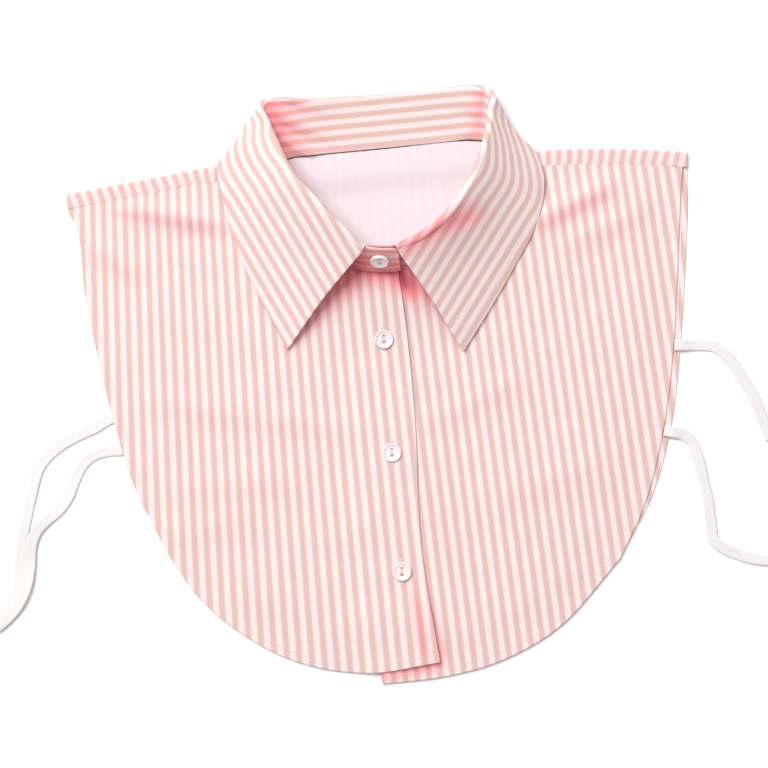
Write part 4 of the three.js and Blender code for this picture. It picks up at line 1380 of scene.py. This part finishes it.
def plumbed(piece, places, side=1, lift=THREAD_LIFT):
    """Where plumb lines from above, or below with side -1, meet a piece, and its facing there."""
    tree = search_tree(piece)
    found = []
    for x, y in places:
        start = Vector(metres([x, y, side * PLUMB_START]))
        hit, facing, _, _ = tree.ray_cast(start, Vector((0, 0, -side)))
        if hit is not None:
            facing = facing if facing.z * side > 0 else -facing
            found.append((*(hit + facing * lift * MM), *facing))
    found = np.array(found)
    return found[:, :3], found[:, 3:]


def offset_line(points, inward):
    """A line beside a flat line, to its left, evenly spaced."""
    flat = np.asarray(points)[:, :2]
    heading = unit(np.gradient(flat, axis=0))
    return flat + np.column_stack([-heading[:, 1], heading[:, 0]]) * inward


# %% [markdown]
# ## Stitches
# A row of lockstitches is one short bead of thread after another. A Geometry Nodes tree lays such
# beads along a line: it cuts the line into even steps, sets a small ellipsoid on each, turns it
# with the line and away from the cloth, and makes the copies real. The same tree sews the
# buttonholes, with beads that are short along the line and wide across it.

# %% Sewing thread
THREAD_TWIST = 2400.0


def sewing_thread():
    material, tree, shader = new_material("sewing_thread")
    twist = object_noise(tree, THREAD_TWIST, detail=2.0)
    shade = mix_colour(tree, twist, linear(226, 199, 195), linear(240, 224, 221))
    bump(tree, shader, twist, strength=0.4, distance=0.00006)
    feed(tree, shader, **{"Base Color": shade, "Roughness": 0.7, "Sheen Weight": 0.15})
    return material


THREAD = sewing_thread()


# %% Tree that lays a row of stitches
STITCH_INPUTS = {"Line": "Geometry", "Pitch": "Float", "Length": "Float", "Width": "Float",
                 "Height": "Float", "Seed": "Int", "Thread": "Material"}
SHORTEST_BEAD = 0.9
LONGEST_BEAD = 1.08
BEAD_SIDES = 8
BEAD_RINGS = 4


def stitch_tree():
    tree = bpy.data.node_groups.new("row_of_stitches", "GeometryNodeTree")
    for name, kind in STITCH_INPUTS.items():
        tree.interface.new_socket(name, in_out="INPUT", socket_type="NodeSocket" + kind)
    tree.interface.new_socket("Stitches", in_out="OUTPUT", socket_type="NodeSocketGeometry")

    def add(kind, settings=(), **values):
        return add_node(tree, kind, settings, **values)

    given = add("NodeGroupInput").outputs
    line = add("GeometryNodeMeshToCurve", Mesh=given["Line"])
    even = add("GeometryNodeResampleCurve", [("mode", "LENGTH")],
               Curve=line.outputs[0], Length=given["Pitch"])
    away = add("GeometryNodeInputNamedAttribute", [("data_type", "FLOAT_VECTOR")], Name="up")
    turn = add("FunctionNodeAxesToRotation", [("primary_axis", "Z"), ("secondary_axis", "X")],
               **{"Primary Axis": away.outputs[0],
                  "Secondary Axis": add("GeometryNodeInputTangent").outputs[0]})
    uneven = add("FunctionNodeRandomValue", [("data_type", "FLOAT")], Seed=given["Seed"],
                 i2=SHORTEST_BEAD, i3=LONGEST_BEAD)
    length = add("ShaderNodeMath", [("operation", "MULTIPLY")], i0=given["Length"],
                 i1=uneven.outputs[1])
    size = add("ShaderNodeCombineXYZ", X=length.outputs[0], Y=given["Width"], Z=given["Height"])
    bead = add("GeometryNodeMeshUVSphere", Segments=BEAD_SIDES, Rings=BEAD_RINGS, Radius=0.5)
    laid = add("GeometryNodeInstanceOnPoints", Points=even.outputs[0], Instance=bead.outputs[0],
               Rotation=turn.outputs[0], Scale=size.outputs[0])
    real = add("GeometryNodeRealizeInstances", Geometry=laid.outputs[0])
    rounded = add("GeometryNodeSetShadeSmooth", Geometry=real.outputs[0])
    painted = add("GeometryNodeSetMaterial", Geometry=rounded.outputs[0],
                  Material=given["Thread"])
    tree.links.new(painted.outputs[0], add("NodeGroupOutput").inputs[0])
    return tree


STITCH_TREE = stitch_tree()


# %% Sew along lines
def sewn(name, lines, pitch, length, width, height, seed):
    """lines is a list of pairs: points in metres, and the way that the cloth faces there."""
    points = np.vstack([line for line, _ in lines])
    facing = np.vstack([up for _, up in lines])
    edges = []
    for line, _ in lines:
        start = edges[-1][1] + 1 if edges else 0
        edges += [(start + k, start + k + 1) for k in range(len(line) - 1)]
    mesh = bpy.data.meshes.new(name + "_lines")
    mesh.from_pydata(points.tolist(), edges, [])
    up = mesh.attributes.new("up", "FLOAT_VECTOR", "POINT")
    up.data.foreach_set("vector", facing.astype(np.float32).ravel())
    guide = link(name + "_lines", mesh)
    modifier = guide.modifiers.new("stitches", "NODES")
    modifier.node_group = STITCH_TREE
    given = {"Pitch": pitch * MM, "Length": length * MM, "Width": width * MM,
             "Height": height * MM, "Seed": seed, "Thread": THREAD}
    for socket in STITCH_TREE.interface.items_tree:
        if socket.name in given:
            modifier[socket.identifier] = given[socket.name]
    stitches = finished_mesh(guide)
    guide.modifiers.clear()
    bpy.data.objects.remove(guide)
    piece = link(name, stitches)
    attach(piece, "root")
    print(name, len(stitches.polygons), "faces")


# %% [markdown]
# Every hem is turned up and stitched about 4 mm in, the shoulder strips and the stand close to
# their edges, and the leaf all round, a presser foot's width from its edge. The stitches of the
# back lie on its underside, and those of the collar show on both faces.


# %% Seams round the free edges of the collar
def between(values, place):
    low = min(int(place), len(values) - 2)
    return values[low] * (1 - place + low) + values[low + 1] * (place - low)


def edge_seam(points, half, beside, along, gap, reach):
    """On each face a line in from one end, along the long edge and back along the other end."""
    columns, rows = points.shape[:2]
    normals = point_normals(points.reshape(-1, 3), grid_faces(columns, rows)).reshape(points.shape)
    flip = -1 if beside[0, 0] > beside[0, -1] else 1
    order = np.arange(columns)
    ends = [np.interp(place, along, order) for place in (gap, along[-1] - gap)]
    inner = order[(order > ends[0]) & (order < ends[1])]
    places = [np.interp(gap, beside[k][::flip], np.arange(rows)[::flip]) for k in inner]
    lines = []
    for face in (1, -1):
        skin = points + normals * (face * (half + THREAD_LIFT))[..., None]
        line = []
        for values in (skin, normals * face):
            across = []
            for end in ends:
                far = between(beside, end)
                chosen = np.where((far > gap) & (far < reach))[0]
                across.append(between(values, end)[chosen[np.argsort(far[chosen])]])
            edge = np.array([between(values[k], place) for k, place in zip(inner, places)])
            line.append(np.vstack([across[0][::-1], edge, across[1]]))
        lines.append((metres(line[0]), line[1]))
    return lines


# %% Sew the hems and edges
STITCH = {"pitch": 2.3, "length": 2.0, "width": 0.42, "height": 0.3}
HEM_SEAM_GAP = 4.4
STRIP_SEAM_GAP = 1.4
STAND_SEAM_GAP = 1.4
STAND_SEAM_REACH = 21
STRIP_SEAM_PLACES = np.linspace(0.01, 0.99, 200)
LEAF_SEAM_REACH = 74
SUNK = -0.06

seams = [
    plumbed(over_cloth, offset_line(over_outline, HEM_SEAM_GAP)),
    plumbed(under_cloth, offset_line(under_outline, HEM_SEAM_GAP)),
    plumbed(back_cloth, offset_line(back_outline, HEM_SEAM_GAP), side=-1, lift=SUNK),
]
for shoulder in (SHOULDER_LEFT, SHOULDER_RIGHT):
    strip_edge = by_length(curve(shoulder))(STRIP_SEAM_PLACES)
    strip_edge[:, 1] -= STRIP_WIDTH - STRIP_SEAM_GAP
    seams.append(plumbed(back_cloth, strip_edge[:, :2]))
seams += edge_seam(stand_points, stand_half, stand_down, stand_along,
                   STAND_SEAM_GAP, STAND_SEAM_REACH)
seams += edge_seam(leaf_points, leaf_half, from_edge, leaf_along, LEAF_SEAM_GAP, LEAF_SEAM_REACH)
sewn("seam_stitches", seams, **STITCH, seed=1)

# %% [markdown]
# ## Buttonholes
# Each button is fastened through a buttonhole in the cloth under it, upright on the front and
# level on the stand. A buttonhole is two bars of close stitches beside a slit, with a wider bar
# across each end. It is a little longer than the button, so its ends show beyond the rim.

# %% Work the buttonholes
HOLE_HALF = 7.2
END_BAR = 1.1
BAR_WIDTH = 1.15
BAR_OFFSET = 0.72
BAR_THREAD = {"pitch": 0.34, "length": 0.42, "height": 0.34}
FRONT_BUTTONS = {"button_1": (4.8, 27), "button_2": (9.6, -41), "button_3": (15.6, -112.2)}
NECK_HOLE = (2.1, 1.03)
NECK_HOLE_SHARE = 0.6
NECK_END_ROWS = 0.12
BAR_STEPS = 40

side_bars = []
end_bars = []
placket = np.array(FRONT_BUTTONS["button_1"]) - np.array(FRONT_BUTTONS["button_3"])
upright = placket / np.hypot(*placket)
aside = np.array([-upright[1], upright[0]])
for middle in FRONT_BUTTONS.values():
    along = np.linspace(END_BAR - HOLE_HALF, HOLE_HALF - END_BAR, BAR_STEPS)[:, None] * upright
    for offset in (-BAR_OFFSET, BAR_OFFSET):
        side_bars.append(plumbed(over_cloth, middle + along + aside * offset))
    for end in (-1, 1):
        span = np.linspace(HOLE_HALF - END_BAR, HOLE_HALF, BAR_STEPS)[:, None] * upright
        end_bars.append(plumbed(over_cloth, middle + end * span))


def on_stand(first, last, offset):
    """Places between two rows of the stand's table, offset up the stand."""
    t = np.linspace(first, last, BAR_STEPS) / (len(STAND) - 1)
    fold_now, seam_now, up_now, _ = stand_section(t)
    return (seam_now + (fold_now - seam_now) * NECK_HOLE_SHARE + up_now * offset)[:, :2]


for offset in (-BAR_OFFSET, BAR_OFFSET):
    side_bars.append(plumbed(stand_cloth, on_stand(*NECK_HOLE, offset)))
for row in NECK_HOLE:
    end_bars.append(plumbed(stand_cloth, on_stand(row, row - NECK_END_ROWS, 0)))
sewn("buttonhole_sides", side_bars, width=BAR_WIDTH, **BAR_THREAD, seed=2)
sewn("buttonhole_ends", end_bars, width=2 * (BAR_OFFSET + BAR_WIDTH / 2), **BAR_THREAD, seed=3)

# %% [markdown]
# ## Buttons
# The four buttons are turned discs with a raised rim, a shallow dish and two thread holes. The
# profile is turned round the button's axis, and the holes, flared at the top, are cut out of it.
# Each button takes the place and tilt of its solid. The milky swirls of the resin are a slow noise
# in object coordinates, so they run through the thickness and differ from button to button.


# %% Pearl-like resin
CLOUD_SCALE = 230.0
FINE_SCALE = 2600.0
ROUGHNESS_LEAST = 0.2
ROUGHNESS_SPREAD = 0.12


def pearl():
    material, tree, shader = new_material("pearl_button")
    cloud = object_noise(tree, CLOUD_SCALE, detail=3.0, distortion=1.6)
    fine = math_node(tree, "MULTIPLY", object_noise(tree, FINE_SCALE, detail=1.0), ROUGHNESS_SPREAD)
    rough = math_node(tree, "ADD", fine, ROUGHNESS_LEAST)
    shade = mix_colour(tree, cloud, linear(229, 216, 222), linear(248, 243, 244))
    bump(tree, shader, cloud, strength=0.12, distance=0.0003)
    feed(tree, shader, **{"Base Color": shade, "Roughness": rough, "IOR": 1.53,
                          "Coat Weight": 0.6, "Coat Roughness": 0.08})
    return material


PEARL = pearl()

# %% Turn and drill a button
BUTTON_SIDES = 72
BUTTON_PROFILE = [
    (4.2, 0), (4.9, 0.18), (5.4, 0.6), (5.66, 1.1), (5.64, 1.65), (5.44, 2.12), (5.12, 2.37),
    (4.8, 2.34), (4.5, 2.08), (4.1, 1.82), (3.6, 1.66), (3.1, 1.62),
]
HOLE_SIDES = 24
HOLE_PROFILE = [(0.85, -1), (0.85, 1.2), (0.95, 1.45), (1.2, 1.66), (1.6, 2.4)]
HOLE_SPACING = 3.4
SHARP_EDGE = 50


def turned(name, profile, sides, middle_y=0.0):
    """A solid of revolution about Z, in metres; profile has radius and height, bottom first."""
    angle = np.arange(sides) * 2 * math.pi / sides
    points = np.array([(r * math.cos(a), r * math.sin(a) + middle_y, z)
                       for r, z in profile for a in angle])
    return mesh_piece(name, points * MM, tube_faces(len(profile), sides))


def drilled_button():
    disc = turned("button_disc", BUTTON_PROFILE, BUTTON_SIDES)
    drills = []
    for side in (-0.5, 0.5):
        drill = turned("drill", HOLE_PROFILE, HOLE_SIDES, side * HOLE_SPACING)
        cut = disc.modifiers.new("drill", "BOOLEAN")
        cut.operation = "DIFFERENCE"
        cut.solver = "EXACT"
        cut.object = drill
        drills.append(drill)
    mesh = finished_mesh(disc)
    mesh.materials.clear()
    mesh.materials.append(PEARL)
    mesh.set_sharp_from_angle(angle=math.radians(SHARP_EDGE))
    for piece in (disc, *drills):
        bpy.data.objects.remove(piece)
    return mesh


BUTTON_MESH = drilled_button()
print("button", len(BUTTON_MESH.polygons), "faces")

# %% [markdown]
# Each button is sewn on with four strands that run down through its two holes into the cloth.
# A button's solid is a flat drum, so its axis is the direction in which its points spread least.


# %% Seat and sew the buttons
STRAND_RADIUS = 0.2
STRAND_SIDES = 8
STRAND_POINTS = 33
STRAND_OFFSETS = (-0.5, -0.17, 0.17, 0.5)
STRAND_PATH = [(-1.75, -0.9), (-1.72, 0.6), (-1.62, 1.4), (-1.25, 1.82), (-0.5, 1.98),
               (0.5, 1.98), (1.25, 1.82), (1.62, 1.4), (1.72, 0.6), (1.75, -0.9)]


def button_seat(node):
    """Move to the middle of the button's underside after a turn from upright to its tilt."""
    points = np.array([tuple(v.co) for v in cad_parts[node].data.vertices])
    points = np.unique(np.round(points, 7), axis=0)
    middle = points.mean(0)
    axis = np.linalg.svd(points - middle)[2][2]
    axis = axis * np.sign(axis[2])
    base = middle + axis * ((points - middle) @ axis).min()
    turn = Vector((0, 0, 1)).rotation_difference(Vector(axis)).to_matrix().to_4x4()
    return Matrix.Translation(Vector(base)) @ turn


def strands(name, seat):
    points = []
    faces = []
    turns = np.arange(STRAND_SIDES) * 2 * math.pi / STRAND_SIDES
    across = np.array([1.0, 0, 0])
    for offset in STRAND_OFFSETS:
        path = [(offset, y, z) for y, z in STRAND_PATH]
        path = by_length(curve(path))(np.linspace(0, 1, STRAND_POINTS))
        upward = np.cross(unit(np.gradient(path, axis=0)), across)
        faces += tube_faces(STRAND_POINTS, STRAND_SIDES, len(points))
        for place, up in zip(path, upward):
            points += [place + (across * math.cos(turn) + up * math.sin(turn)) * STRAND_RADIUS
                       for turn in turns]
    piece = mesh_piece(name, np.array(points) * MM, faces, materials=[THREAD])
    piece.data.transform(seat)
    return piece


for node in [*FRONT_BUTTONS, "button_neck"]:
    seat = button_seat(node)
    button = link(node + "_pearl", BUTTON_MESH.copy())
    button.data.transform(seat)
    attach(button, "root")
    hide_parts(node)
    thread = strands(node + "_thread", seat)
    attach(thread, "root")
bpy.data.meshes.remove(BUTTON_MESH)

# %% Attach each cloth and hide its solid
def dress(piece, node):
    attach(piece, "root")
    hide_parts(node)


dress(back_cloth, "back_panel")
dress(under_cloth, "front_under")
dress(over_cloth, "front_over")
dress(stand_cloth, "collar_stand")
dress(leaf_cloth, "collar_leaf")
